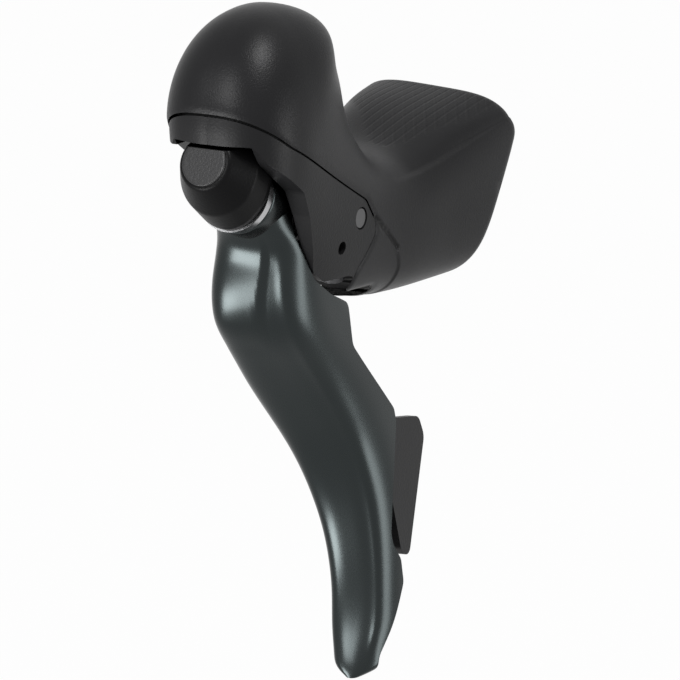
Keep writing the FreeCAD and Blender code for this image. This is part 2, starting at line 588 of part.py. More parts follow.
def make_cylinder():
    """The master cylinder's sleeve, its stop ring, and the piston group inside."""
    nodes = {}
    axis = PIVOT_RISE - PUSH_ARM
    bore = BORE_DIAMETER / 2
    length = CYLINDER_REAR - CYLINDER_FRONT
    sleeve = rod(Vector(0, CYLINDER_FRONT, axis), BACK, length, CYLINDER_DIAMETER / 2)
    sleeve = sleeve.cut(rod(Vector(0, CYLINDER_FRONT - 1, axis), BACK, length + 1 - CYLINDER_END, bore))
    nodes["master_cylinder"] = sleeve.cut(rod(Vector(0, CYLINDER_REAR - 4, axis), BACK, 8, 1.2))
    ring = Vector(0, CYLINDER_FRONT - STOP_RING - SEAT, axis)
    nodes["stop_ring"] = tube(ring, BACK, STOP_RING, CYLINDER_DIAMETER / 2 - 0.05, 3.0)
    front = CYLINDER_FRONT + 0.3
    piston = rod(Vector(0, front, axis), BACK, PISTON_LENGTH, bore - PISTON_FIT)
    for start in SEAL_PLACES:
        groove = Vector(0, front + start, axis)
        piston = piston.cut(tube(groove, BACK, SEAL_WIDTH, bore + 1, bore - SEAL_DEPTH))
    nodes["piston"] = piston.cut(rod(Vector(0, front - 1, axis), BACK, 3.0, PUSH_ROD_RADIUS + 0.05))
    for name, start in zip(("secondary_seal", "primary_seal"), SEAL_PLACES):
        seal = Vector(0, front + start + SEAT, axis)
        nodes[name] = tube(seal, BACK, SEAL_WIDTH - 2 * SEAT, bore - SEAT, bore - SEAL_DEPTH + 0.05)
    tip = Vector(0, PIVOT.y + PIN_BACK + PUSH_PIN_DIAMETER / 2 + PUSH_GAP, axis)
    shank = rod(tip, BACK, front + 1.95 - tip.y, PUSH_ROD_RADIUS)
    nodes["push_rod"] = shank.fuse(rod(tip, BACK, 1.2, 2 * PUSH_ROD_RADIUS)).removeSplitter()
    wire = PISTON_SPRING[1]
    start = front + PISTON_LENGTH + 0.1 + wire
    end = CYLINDER_REAR - CYLINDER_END - 0.1 - wire
    nodes["piston_spring"] = coil(Vector(0, start, axis), BACK, PISTON_SPRING, end - start)
    return nodes


def make_carrier():
    """The head casting: hub on the axle, arm and back wall for the shift shaft, lugs for the push pin."""
    hub = rod(PIVOT - ACROSS * HEAD_HALF, ACROSS, 2 * HEAD_HALF, HUB_RADIUS)
    wall = rod(on_shaft(WALL_PLACE[0]), SHIFT_WAY, WALL_PLACE[1] - WALL_PLACE[0], WALL_RADIUS)
    middle = on_shaft(ARM_PLACE)
    root = UP * (HUB_RADIUS - 0.3)
    rise = SHIFT_UP * (WALL_RADIUS - 1.2)
    corners = [(PIVOT + root, 0), (middle + rise, 0), (middle - rise, 0), (PIVOT - root, 0)]
    body = hub.fuse(wall).fuse(slab(side(corners), -ARM_HALF, ARM_HALF))
    pin = PIVOT + Vector(0, PIN_BACK, -PUSH_ARM)
    lug = [(PIVOT + Vector(0, -6, 0), 0), (pin + Vector(0, -3.5, 1), 0), (pin + Vector(0, -3.0, -3.0), 2.4),
           (pin + Vector(0, 3.0, -3.0), 2.4), (pin + Vector(0, 3.0, 5), 2), (PIVOT + Vector(0, 6, 0), 0)]
    for low in (-ARM_HALF, ARM_HALF - LUG_THICKNESS):
        body = body.fuse(slab(side(lug), low, low + LUG_THICKNESS))
    body = body.removeSplitter()
    body = body.cut(through(PIVOT, ACROSS, BUSH_RADIUS + PRESS))
    body = body.cut(through(pin, ACROSS, PIN_END + PRESS))
    return body.cut(rod(on_shaft(WALL_PLACE[0] - 6), SHIFT_WAY, 20, SHAFT_DIAMETER / 2 + PRESS))


def make_nose():
    """The rounded cap on the front of the head, with a flat front face and a recess for the nut."""
    rows = []
    for place, rise, half_width, half_height in NOSE_STATIONS:
        centre = on_shaft(place) + SHIFT_UP * rise
        ring = superellipse(half_width, half_height, 2.0)
        rows.append([centre + ACROSS * x + SHIFT_UP * v for x, v in ring])
    nose = skin(rows).cut(slab(NOSE_NOTCH, -WIDE, WIDE))
    back = on_shaft(NOSE_STATIONS[0][0] - 1)
    return nose.cut(rod(back, SHIFT_WAY, NOSE_ROOM[0] + 1, NOSE_ROOM[1]))


def make_pad():
    """The thin pad on the nose's flat face, cut off straight under the strip."""
    place, rise = NOSE_STATIONS[-1][:2]
    pad = rod(on_shaft(place + SEAT) + SHIFT_UP * rise, SHIFT_WAY, PAD_THICKNESS, PAD_RADIUS)
    return pad.cut(slab(NOSE_NOTCH, -WIDE, WIDE))


def make_drum():
    """The cable drum with its groove and index notches."""
    drum = disc(DRUM_PLACE, DRUM_RADIUS, SHAFT_DIAMETER / 2 + AXLE_FIT)
    drum = drum.cut(disc(GROOVE_PLACE, DRUM_RADIUS + 1, DRUM_RADIUS - GROOVE_DEPTH))
    for k in range(NOTCHES):
        turn = math.radians(NOTCH_PITCH * (k - (NOTCHES - 1) / 2))
        spoke = SHIFT_UP * math.cos(turn) + ACROSS * math.sin(turn)
        drum = drum.cut(rod(on_shaft(NOTCH_PLACE) + spoke * DRUM_RADIUS, SHIFT_WAY, 3, NOTCH_RADIUS))
    return drum


def blade_rows(inset):
    """Closed level sections of the blade, drawn in by inset."""
    rows = []
    for z, front, middle, half, depth, power, slant in BLADE_STATIONS:
        ring = superellipse(half - inset, depth - inset, power)
        lean = math.tan(math.radians(slant))
        rows.append([Vector(middle + x, front + depth - v + x * lean, z) for x, v in ring])
    return rows


def make_blade():
    """The brake blade: a channel open to the rear, hung from a collar on the shift shaft."""
    blade = skin(blade_rows(0.0))
    blade = blade.common(slab(OUTBOARD_REAR, -WIDE, WIDE))
    blade = blade.cut(slab(INBOARD_REAR, -WIDE, INBOARD_WALL_FROM))
    room = Part.makeBox(2 * WIDE, FAR, CHANNEL_TOP - CHANNEL_BOTTOM, Vector(-WIDE, -FAR, CHANNEL_BOTTOM))
    blade = blade.cut(skin(blade_rows(BLADE_WALL)).common(room))
    behind = on_shaft(COLLAR_PLACE[0])
    blade = blade.cut(rod(behind, SHIFT_WAY * -1, 25, COLLAR_RADIUS + 1.6))
    blade = blade.cut(rod(on_shaft(COLLAR_PLACE[1]), SHIFT_WAY, 30, 20))
    blade = blade.cut(rod(behind, SHIFT_WAY, 30, COLLAR_RADIUS - 0.5))
    blade = blade.fuse(disc(COLLAR_PLACE, COLLAR_RADIUS, BUSH_RADIUS + PRESS))
    return blade.removeSplitter()


def make_paddle():
    """The release paddle: a ring on the shift shaft, an arm in the blade's channel and a finger pad."""
    plate = slab(PADDLE, PADDLE_X, PADDLE_X + PADDLE_THICKNESS)
    plate.rotate(Vector(PADDLE_X, 0, PADDLE_Z), BACK, -PADDLE_LEAN)
    plate = plate.fuse(slab(PADDLE_NECK, *NECK_ACROSS))
    plate = plate.cut(rod(on_shaft(RING_PLACE[1]), SHIFT_WAY, 40, 30))
    plate = plate.cut(rod(on_shaft(RING_PLACE[0]), SHIFT_WAY * -1, 50, DRUM_RADIUS + PADDLE_GAP))
    plate = plate.cut(rod(on_shaft(DRUM_PLACE[0]), SHIFT_WAY * -1, 50, WALL_RADIUS + PADDLE_GAP))
    plate = plate.fuse(disc(RING_PLACE, COLLAR_RADIUS - RING_INSET, 2.0)).removeSplitter()
    return plate.cut(rod(on_shaft(-40), SHIFT_WAY, 60, SHAFT_DIAMETER / 2 + AXLE_FIT))


def make_moving():
    """Pieces of the lever head, the blade, the paddle and the drum."""
    nodes = {}
    nodes["carrier"] = make_carrier()
    bore = AXLE_DIAMETER / 2 + AXLE_FIT
    for name, start in (("axle_bush_inboard", -HEAD_HALF), ("axle_bush_outboard", HEAD_HALF - BUSH_LENGTH)):
        nodes[name] = tube(PIVOT + ACROSS * start, ACROSS, BUSH_LENGTH, BUSH_RADIUS, bore)
    half = HEAD_HALF - BUSH_LENGTH - RETURN_SPRING[1] - 0.38
    nodes["return_spring"] = coil(PIVOT - ACROSS * half, ACROSS, RETURN_SPRING, 2 * half)
    pin = PIVOT + Vector(-ARM_HALF, PIN_BACK, -PUSH_ARM)
    shoulder = LUG_THICKNESS + 0.1
    middle = rod(pin + ACROSS * shoulder, ACROSS, 2 * (ARM_HALF - shoulder), PUSH_PIN_DIAMETER / 2)
    nodes["push_pin"] = rod(pin, ACROSS, 2 * ARM_HALF, PIN_END).fuse(middle).removeSplitter()
    length = SHAFT_PLACE[1] - SHAFT_PLACE[0]
    nodes["shift_shaft"] = rod(on_shaft(SHAFT_PLACE[0]), SHIFT_WAY, length, SHAFT_DIAMETER / 2)
    nut = hex_socket(on_shaft(NUT_PLACE[1]), SHIFT_WAY, NUT_ACROSS, NUT_PLACE[1] - NUT_PLACE[0])
    nodes["shaft_nut"] = nut.cut(rod(on_shaft(-5), SHIFT_WAY, 10, SHAFT_DIAMETER / 2 + PRESS))
    nodes["nose_rim"] = disc(RIM_PLACE, NOSE_RIM_RADIUS, NOSE_RIM_BORE)
    nodes["nose_cap"] = make_nose()
    nodes["nose_pad"] = make_pad()
    nodes["cable_drum"] = make_drum()
    nodes["blade"] = make_blade()
    nodes["blade_bush"] = disc(COLLAR_PLACE, BUSH_RADIUS, SHAFT_DIAMETER / 2 + AXLE_FIT)
    nodes["release_paddle"] = make_paddle()
    return nodes


def main():
    os.makedirs("parts", exist_ok=True)
    nodes = make_fixed()
    nodes.update(make_moving())
    for name, shape in nodes.items():
        if len(shape.Solids) == 1:
            shape = shape.Solids[0]
        box = shape.optimalBoundingBox()
        limits = [round(v, 2) for v in (box.XMin, box.XMax, box.YMin, box.YMax, box.ZMin, box.ZMax)]
        print("%-20s %s %d %8.1f" % (name, shape.isValid(), len(shape.Solids), shape.Volume), limits)
        shape.exportStep("parts/%s.step" % name)


if __name__ == "__main__":
    main()
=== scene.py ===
# %% [markdown]
# # A drop-bar lever for a hydraulic brake
#
# The real lever is a rubber hood over a stiff bracket, a lacquered blade that pulls the brake and
# swings to shift, and a small paddle behind the blade. Its CAD solids come in as a fixed frame,
# in metres, with the centre of the handlebar clamp at the origin. They could be shown as they
# are, but soft rubber and pressed metal have softer lines than the solids. So the hood, the blade
# and the nose are made again here as finer surfaces, and every other solid keeps its shape and
# gets a finish.

# %% Load the frame
import json
import math

import bpy
import numpy as np
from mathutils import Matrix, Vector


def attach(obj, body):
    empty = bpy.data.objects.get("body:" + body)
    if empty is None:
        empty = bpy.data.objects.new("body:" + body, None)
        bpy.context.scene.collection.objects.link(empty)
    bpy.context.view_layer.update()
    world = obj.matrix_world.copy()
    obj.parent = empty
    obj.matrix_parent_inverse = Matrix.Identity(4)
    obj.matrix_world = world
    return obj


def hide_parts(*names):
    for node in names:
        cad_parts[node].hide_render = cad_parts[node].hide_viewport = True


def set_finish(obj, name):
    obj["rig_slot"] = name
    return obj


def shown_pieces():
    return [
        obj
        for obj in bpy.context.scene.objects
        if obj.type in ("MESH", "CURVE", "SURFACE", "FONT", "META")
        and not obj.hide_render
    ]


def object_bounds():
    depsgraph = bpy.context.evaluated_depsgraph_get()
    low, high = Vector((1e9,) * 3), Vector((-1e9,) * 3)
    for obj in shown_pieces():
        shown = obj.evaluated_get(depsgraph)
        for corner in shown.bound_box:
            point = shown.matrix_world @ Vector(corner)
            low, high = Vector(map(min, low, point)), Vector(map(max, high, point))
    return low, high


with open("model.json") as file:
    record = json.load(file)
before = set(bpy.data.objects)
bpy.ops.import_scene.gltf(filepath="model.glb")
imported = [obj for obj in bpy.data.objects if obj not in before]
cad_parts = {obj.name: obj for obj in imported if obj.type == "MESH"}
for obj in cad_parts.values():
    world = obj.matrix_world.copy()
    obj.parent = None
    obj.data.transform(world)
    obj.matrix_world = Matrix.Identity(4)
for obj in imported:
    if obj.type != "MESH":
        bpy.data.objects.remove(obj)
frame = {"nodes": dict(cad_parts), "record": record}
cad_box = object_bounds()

MM = 0.001  # the tables below are in millimetres, and Blender works in metres
TINY = 1e-12  # stands in for zero in a division

# %% [markdown]
# Moulded and pressed parts have few flat sides: their sections change slowly from end to end.
# Blender's own curves could be lofted through such sections. Arrays are quicker and give the same
# points on every run, so each new surface here is a grid: one parameter runs along the piece, the
# other runs round it, and a cubic spline joins a few stations.

# %% A spline through stations
def spline(knots, values, at):
    """Natural cubic spline: the bend at each knot solves the usual three-term rows, with no bend
    at the two ends, and a cubic joins each pair of knots."""
    knots = np.asarray(knots, float)
    values = np.asarray(values, float).reshape(len(knots), -1)
    step = np.diff(knots)
    rows = np.eye(len(knots))
    inner = np.arange(1, len(knots) - 1)
    rows[inner, inner - 1] = step[:-1]
    rows[inner, inner] = 2 * (step[:-1] + step[1:])
    rows[inner, inner + 1] = step[1:]
    slopes = np.diff(values, axis=0) / step[:, None]
    right = np.zeros_like(values)
    right[1:-1] = 6 * np.diff(slopes, axis=0)
    bend = np.linalg.solve(rows, right)
    place = np.clip(np.searchsorted(knots, at) - 1, 0, len(step) - 1)
    t = (np.asarray(at, float) - knots[place])[:, None]
    h = step[place][:, None]
    a, b = bend[place], bend[place + 1]
    slope = slopes[place] - h * (2 * a + b) / 6
    return values[place] + t * (slope + t * (a / 2 + t * (b - a) / (6 * h)))


print("spline through 0, 1 and 4, at 1.5:", spline([0, 1, 2], [0, 1, 4], [1.5])[0])

# %% Steps, rings and grids
def smooth(x):
    """0 below 0, 1 above 1, and 3x^2 - 2x^3 between."""
    x = np.clip(x, 0, 1)
    return x * x * (3 - 2 * x)


def ring(angle, half_width, half_height, power):
    """The rounded square |x/a|^p + |v/b|^p = 1, at these angles from its lowest point."""
    c, s = np.cos(angle - np.pi / 2), np.sin(angle - np.pi / 2)
    x = half_width * np.sign(c) * np.abs(c) ** (2 / power)
    v = half_height * np.sign(s) * np.abs(s) ** (2 / power)
    return x, v


def grid_faces(rows, columns, pole=False):
    """Triangles of a grid that closes round its columns; with a pole, one more point, which comes
    after the grid, closes the last row."""
    i, j = np.meshgrid(np.arange(rows - 1), np.arange(columns), indexing="ij")
    k = (j + 1) % columns
    a, b = i * columns + j, i * columns + k
    c, d = b + columns, a + columns
    faces = [np.stack([a, b, c], -1).reshape(-1, 3), np.stack([a, c, d], -1).reshape(-1, 3)]
    if pole:
        column = np.arange(columns)
        start = (rows - 1) * columns
        tip = np.full(columns, rows * columns)
        faces.append(np.stack([start + column, start + (column + 1) % columns, tip], -1))
    return np.concatenate(faces)


print("a grid of 3 by 4 with a pole:", len(grid_faces(3, 4, True)), "triangles")

# %% [markdown]
# The rubber and the metal end along lines that are easy to draw in the side view: straight runs
# with rounded corners. A Boolean could cut along them, but it leaves ragged shading. Here each
# point gets its distance to the line, and every triangle that the line crosses is cut exactly
# there.

# %% Outlines in the side view
def side_outline(corners, steps=9):
    """A closed outline through corners (y, z, radius): a corner with a radius gives way to points
    on the arc of that radius which touches both its sides."""
    table = np.array(corners, float)
    spots, radii = table[:, :2], table[:, 2]
    share = np.linspace(0, 1, steps)[:, None]
    points = []
    for i, (spot, radius) in enumerate(zip(spots, radii)):
        if radius == 0:
            points.append(spot[None])
            continue
        before, after = spots[i - 1] - spot, spots[(i + 1) % len(spots)] - spot
        before, after = before / np.linalg.norm(before), after / np.linalg.norm(after)
        half = math.acos(np.clip(before @ after, -1, 1)) / 2
        reach = radius / math.tan(half)
        middle = (before + after) / np.linalg.norm(before + after)
        centre = spot + middle * radius / math.sin(half)
        spoke = spot - centre + reach * ((1 - share) * before + share * after)
        points.append(centre + radius * spoke / np.linalg.norm(spoke, axis=1, keepdims=True))
    return np.concatenate(points)


def depth_inside(outline, y, z):
    """Distance to a closed outline, positive inside: the nearest side gives the distance, and the
    number of sides to the right of the point gives the sign."""
    a, b = outline, np.roll(outline, -1, 0)
    p = np.stack([y, z], -1)[:, None, :]
    side = b - a
    share = np.clip(((p - a) * side).sum(-1) / (side * side).sum(-1), 0, 1)
    gap = np.linalg.norm(p - a - share[..., None] * side, axis=-1).min(1)
    rise = np.where(np.abs(side[:, 1]) < TINY, TINY, side[:, 1])
    cross = (a[:, 1] > p[..., 1]) != (b[:, 1] > p[..., 1])
    left = p[..., 0] < a[:, 0] + (p[..., 1] - a[:, 1]) / rise * side[:, 0]
    return np.where((cross & left).sum(1) % 2 == 1, gap, -gap)


square = side_outline([(0, 0, 0), (4, 0, 0), (4, 4, 0), (0, 4, 0)])
print("depth at the middle of a square of 4:", depth_inside(square, [2.0], [2.0])[0])

# %% Cutting triangles at a line
def turned(rows, first):
    """Each row of three turned so that its column number first comes first."""
    return np.take_along_axis(rows, (first[:, None] + np.arange(3)) % 3, 1)


def trim(points, faces, level):
    """Keeps what has a positive level: a side that crosses zero gets a new point, at the share of
    the side that its two levels give."""
    inside = level[faces] > 0
    count = inside.sum(1)
    one = turned(faces[count == 1], inside[count == 1].argmax(1))
    two = turned(faces[count == 2], (~inside[count == 2]).argmax(1))
    sides = np.concatenate([one[:, [0, 1]], one[:, [0, 2]], two[:, [0, 1]], two[:, [0, 2]]])
    keys, place = np.unique(np.sort(sides, 1), axis=0, return_inverse=True)
    share = level[keys[:, 0]] / (level[keys[:, 0]] - level[keys[:, 1]])
    fresh = points[keys[:, 0]] + share[:, None] * (points[keys[:, 1]] - points[keys[:, 0]])
    ends = np.cumsum([len(one), len(one), len(two)])
    p, q, r, s = np.split(place.reshape(-1) + len(points), ends)
    faces = np.concatenate([
        faces[count == 3],
        np.stack([one[:, 0], p, q], 1),
        np.stack([r, two[:, 1], two[:, 2]], 1),
        np.stack([r, two[:, 2], s], 1),
    ])
    used, faces = np.unique(faces, return_inverse=True)
    return np.concatenate([points, fresh])[used], faces.reshape(-1, 3)


def normals(points, faces):
    """Outward directions at the points: the sum of the areas of the faces round each."""
    a, b, c = (points[faces[:, k], :3] for k in range(3))
    area = np.cross(b - a, c - a)
    total = np.zeros((len(points), 3))
    for k in range(3):
        np.add.at(total, faces[:, k], area)
    return total / np.maximum(np.linalg.norm(total, axis=1, keepdims=True), TINY)


corner = np.array([(0.0, 0, 0), (2, 0, 0), (0, 2, 0)])
kept, kept_faces = trim(corner, np.array([(0, 1, 2)]), 1 - corner[:, 0])
print("a triangle cut across:", len(kept), "points,", len(kept_faces), "triangles")

# %% [markdown]
# A finished piece sits at the origin with its place in its mesh, rides on the body that carries
# it on the real lever, and may stand for a solid of the frame, which is then hidden. Skins such
# as the hood have a thickness. It could be modelled as a second surface, but a Solidify modifier
# adds it inwards and closes the edges, and Edge Split keeps those edges crisp.

# %% Putting a surface into the scene
CRISP_ANGLE = math.radians(42)


def piece(name, points, faces, body, slot, stands_for=(), wall=0.0, marks=None):
    """Makes a mesh of millimetre points, shaded smooth, with its faces turned outwards; wall gives
    it thickness inwards, and marks are values at the points for the finish to read."""
    a, b, c = (points[faces[:, k], :3] - points[:, :3].mean(0) for k in range(3))
    if (a * np.cross(b, c)).sum() < 0:
        faces = faces[:, ::-1]
    mesh = bpy.data.meshes.new(name)
    mesh.from_pydata((points[:, :3] * MM).tolist(), [], faces.tolist())
    mesh.polygons.foreach_set("use_smooth", np.ones(len(faces), bool))
    for mark, values in (marks or {}).items():
        made_mark = mesh.attributes.new(mark, "FLOAT", "POINT")
        made_mark.data.foreach_set("value", values.astype(np.float32))
    mesh.update()
    made = bpy.data.objects.new(name, mesh)
    bpy.context.scene.collection.objects.link(made)
    if wall:
        thick = made.modifiers.new("wall", "SOLIDIFY")
        thick.thickness = wall * MM
        thick.offset = -1
        thick.use_even_offset = True
        thick.thickness_clamp = 1.0
        split = made.modifiers.new("edges", "EDGE_SPLIT")
        split.split_angle = CRISP_ANGLE
    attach(made, body)
    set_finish(made, slot)
    if stands_for:
        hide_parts(*stands_for)
    print(name + ":", len(points), "points,", len(faces), "triangles")


print("walls keep edges crisp past", round(math.degrees(CRISP_ANGLE)), "degrees")

# %% [markdown]
# The hood is one piece of moulded rubber pulled over the bracket, and the rider's palm rests on
# it. It could be sculpted, or subdivided from a cage of a few boxes. Sections are easier to hold
# to a size, so it is a row of rounded squares. Behind, they stand upright. In front they turn
# about a line above the saddle, like a fan, and rise into the horn, whose end closes like an
# ellipsoid.

# %% The hood's sections
GRIP = [  # place, top, bottom, half width, squareness, top's tilt, inboard flare
    (16.0, 28.4, -18.0, 20.4, 4.4, 0.05, 3.6),
    (2.0, 26.4, -18.2, 19.9, 4.2, 0.07, 3.2),
    (-10.0, 24.8, -18.4, 19.0, 3.8, 0.14, 2.6),
    (-24.0, 21.8, -18.5, 17.7, 3.2, 0.18, 1.6),
    (-38.0, 18.4, -18.0, 16.6, 2.8, 0.10, 0.5),
]
HORN = [  # angle on the fan, inner radius, outer radius, half width, squareness
    (0.0, 42.0, 79.0, 15.6, 2.7),
    (16.0, 34.4, 79.0, 15.2, 2.7),
    (32.0, 28.0, 77.4, 15.6, 2.7),
    (46.0, 24.8, 74.4, 16.6, 2.8),
]
FAN = (-50.0, 62.0)  # the fan's line in the side view
DOME_ANGLES = (58.0, 87.4)  # on the fan, from the dome's root to its tip
DOME_MIDDLE = (46.6, 37.6)  # radius of its middle at those angles
DOME_DEPTH, DOME_WIDTH = 22.8, 17.2
DOME_SQUARENESS = (2.2, 0.5)  # at the tip, and what the root has more
DOME_STEPS = np.array([0.0, 0.32, 0.58, 0.77, 0.89, 0.96, 0.99, 0.999])


def grip_rows(angle):
    """Upright rounded squares: the top leans by its tilt, and the inboard half flares."""
    rows = []
    for y, top, bottom, half, power, tilt, flare in GRIP:
        height = (top - bottom) / 2
        x, v = ring(angle, half, height, power)
        z = (top + bottom) / 2 + v - tilt * x * np.maximum(v / height, 0)
        x = np.where(x < 0, x * (1 + flare / half), x)
        rows.append(np.stack([x, np.full_like(x, y), z], -1))
    return rows


def horn_rows(angle):
    """Rounded squares turned about the fan's line; those of the dome shrink as sqrt(1 - s^2)."""
    share = np.sqrt(1 - DOME_STEPS ** 2)
    turn = DOME_ANGLES[0] + DOME_STEPS * (DOME_ANGLES[1] - DOME_ANGLES[0])
    middle = DOME_MIDDLE[0] + DOME_STEPS * (DOME_MIDDLE[1] - DOME_MIDDLE[0])
    dome = np.stack([turn, middle - DOME_DEPTH * share, middle + DOME_DEPTH * share,
                     DOME_WIDTH * share, DOME_SQUARENESS[0] + DOME_SQUARENESS[1] * share], -1)
    rows = []
    for turn, inner, outer, half, power in np.concatenate([HORN, dome]):
        turn = math.radians(turn)
        x, v = ring(angle, half, (outer - inner) / 2, power)
        reach = (inner + outer) / 2 - v
        y, z = FAN[0] - reach * math.sin(turn), FAN[1] - reach * math.cos(turn)
        rows.append(np.stack([x, y, z], -1))
    return rows


print("hood:", len(GRIP), "upright sections,", len(HORN) + len(DOME_STEPS), "on the fan")

# %% The hood's outer form
FLAP_ROUND = (0.75, 2.75)  # angles round a section between which the flap lies
FLAP_AHEAD = (42.0, 66.0)  # and how far ahead of the clamp
CLOSER_ROUND, CLOSER_ALONG = 2.0, 2.2  # points lie this many times closer there
LEAST_STEP = 1.0  # stations count as at least this far apart
STEADY_ROWS = 7  # the first sections, whose middles lie in order from rear to front


def crowded(low, high, start, end, times, count, samples=4000):
    """Places from low to high that lie closer, by times, between start and end: even steps of a
    running sum of weights."""
    fine = np.linspace(low, high, samples)
    weight = np.cumsum(np.where((fine > start) & (fine < end), times, 1.0))
    return np.interp(np.linspace(weight[0], weight[-1], count), weight, fine)


def hood_form(along=236, round_count=228):
    """Splines along the hood through all its sections, from the rear to the horn's tip."""
    angle = crowded(0, 2 * np.pi, *FLAP_ROUND, CLOSER_ROUND, round_count + 1)[:-1]
    rows = np.array(grip_rows(angle) + horn_rows(angle))
    middles = rows.mean(1)
    gaps = np.linalg.norm(np.diff(middles, axis=0), axis=1)
    knots = np.concatenate([[0], np.cumsum(np.sqrt(gaps ** 2 + LEAST_STEP ** 2))])
    flap = np.interp(FLAP_AHEAD, -middles[:STEADY_ROWS, 1], knots[:STEADY_ROWS])
    at = crowded(0, knots[-1], *flap, CLOSER_ALONG, along)
    grid = spline(knots, rows.reshape(len(rows), -1), at)
    points = np.concatenate([grid.reshape(-1, 3), middles[-1:]])
    return points, grid_faces(along, round_count, True)


points, faces = hood_form()
print("hood before trimming:", np.ptp(points, axis=0).round(1), "mm")

# %% [markdown]
# The rubber ends in a clean line where the bracket's cheek comes out of it, and in a slanting rim
# at the rear, where it meets the bar. Two holes underneath let the hose and the cable through. A
# cutter with Booleans would do, but then the distance to the edge would be lost. Here it stays
# with each point, because the rolled edge needs it in the next step.

# %% The hood's edges
HOOD_EDGE = [(-130, 53, 0), (-99, 30.9, 12), (-61.5, 11.2, 5), (-55.8, 3.2, 3.5), (-63.8, -5.6, 5),
             (-65.2, -11.6, 1.5), (-51.5, -12.3, 4), (-47, -40, 0),
             (60, -40, 0), (60, 120, 0), (-130, 120, 0)]
HOOD_RIM = [(-37.2, -60, 0), (6.9, 16.0, 4), (0.9, 27, 0), (-8, 130, 0), (-160, 130, 0),
            (-160, -60, 0)]
PORTS = [(-10.8, -32.5), (-10.8, -44.0)]
PORT_RADIUS = 3.3
UNDERSIDE = -10.0  # the ports go through what lies below this height
FIELD = [  # the grip pattern's outline, seen from above
    (20, 14, 0), (18, 4.6, 0), (14.1, -12, 20), (9.4, -26.3, 20), (6.4, -36.2, 5), (0.9, -36.8, 5),
    (-8.4, -24.1, 8), (-24, -8, 0), (-26, 14, 0)]
FIELD_FADE = 1.6
FIELD_FLOOR = 12.0  # only what lies above this height has the pattern

x, y, z = points.T
front = depth_inside(side_outline(HOOD_EDGE), y, z)
rim = depth_inside(side_outline(HOOD_RIM), y, z)
field = smooth(depth_inside(side_outline(FIELD), x, y) / FIELD_FADE) * (z > FIELD_FLOOR)
hood = np.column_stack([points, field, front, rim])
for column in (4, 5):  # front and rim
    hood, faces = trim(hood, faces, hood[:, column])
for port_x, port_y in PORTS:
    around = np.hypot(hood[:, 0] - port_x, hood[:, 1] - port_y) - PORT_RADIUS
    hood, faces = trim(hood, faces, np.where(hood[:, 2] < UNDERSIDE, around, 1.0))
print("hood after trimming:", len(hood), "points, with", len(PORTS), "ports")

# %% [markdown]
# Lines are moulded into the rubber: a soft hollow along the outboard side of the saddle, and a
# flap behind the axle with a slit along its upper edge. They could be carved in sculpt mode, or
# faked with a bump. Real depth keeps them in the mesh, so each line is a depth at every point,
# and the points move inwards by the sum of the depths. The edges roll in by a last small depth.

# %% Lines moulded into the hood
HOLLOW_Y = (-50.0, -42.7, -33.6, -25.9, -18.3, -11.3, -3.5, 4.9, 16.0)
HOLLOW_TOP = (17.2, 17.3, 17.7, 18.7, 19.6, 20.4, 20.9, 21.2, 21.4)
HOLLOW_CREASE = (12.4, 12.8, 13.4, 14.5, 16.0, 17.2, 18.4, 19.5, 20.6)
HOLLOW_POWER = 1.5  # how slowly the hollow sets in below its top
HOLLOW_RETURN = 0.4  # the rise after the crease, as a share of the way down to it
HOLLOW_DEPTH, HOLLOW_FADE = (0.95, 0.12), (-14, 6)  # it grows shallow towards the rear rim
HOLLOW_START, HOLLOW_RUN = -47, 12
OUTBOARD_FADE = 3.0  # the lines are on the outboard side, and set in over this width
FLAP = [(-75, 9, 0), (-59.5, 8.3, 0), (-47.0, -3.8, 1.5), (-44.8, -8.8, 6), (-44.4, -24, 0),
        (-75, -24, 0)]
FLAP_DEPTH, FLAP_EDGE = 0.3, 1.1
SLIT = np.array([(-57.5, 6.0), (-47.4, -3.5)])
SLIT_DEPTH, SLIT_WIDTH = 0.6, 0.8
LIP_DEPTH, LIP_WIDTH = 0.3, 1.5

x, y, z, field, front, rim = hood.T
outboard = smooth(x / OUTBOARD_FADE)
top, crease = np.interp(y, HOLLOW_Y, HOLLOW_TOP), np.interp(y, HOLLOW_Y, HOLLOW_CREASE)
down = (top - z) / (top - crease)
back_up = 1 - smooth((down - 1) / HOLLOW_RETURN)
hollow = np.where(down < 1, np.clip(down, 0, 1) ** HOLLOW_POWER, back_up)
hollow = hollow * outboard * smooth((y - HOLLOW_START) / HOLLOW_RUN)
hollow = hollow * np.interp(y, HOLLOW_FADE, HOLLOW_DEPTH)
flap = FLAP_DEPTH * smooth(depth_inside(side_outline(FLAP), y, z) / FLAP_EDGE) * outboard
slit_way = SLIT[1] - SLIT[0]
from_start = np.stack([y, z], -1) - SLIT[0]
along_slit = np.clip(from_start @ slit_way / (slit_way @ slit_way), 0, 1)
from_slit = np.linalg.norm(from_start - along_slit[:, None] * slit_way, axis=1)
slit = SLIT_DEPTH * (1 - smooth(from_slit / SLIT_WIDTH)) * outboard
lip = LIP_DEPTH * np.clip(1 - np.minimum(front, rim) / LIP_WIDTH, 0, 1) ** 2
print("deepest hollow, flap, slit and lip:", *(d.max().round(2) for d in (hollow, flap, slit, lip)))

# %% The hood in the scene
HOOD_WALL = 1.0
outward = normals(hood, faces)
if ((hood[:, :3] - hood[:, :3].mean(0)) * outward).sum() < 0:
    outward = -outward
points = hood[:, :3] - outward * (hollow + flap + slit + lip)[:, None]
# the slit mark also tells the finish where to paint shade into the slit's gap
marks = {"field": field, "slit": np.clip(slit / SLIT_DEPTH, 0, 1)}
piece("hood_skin", points, faces, "bracket_body", "hood_rubber", ["hood"], HOOD_WALL, marks)

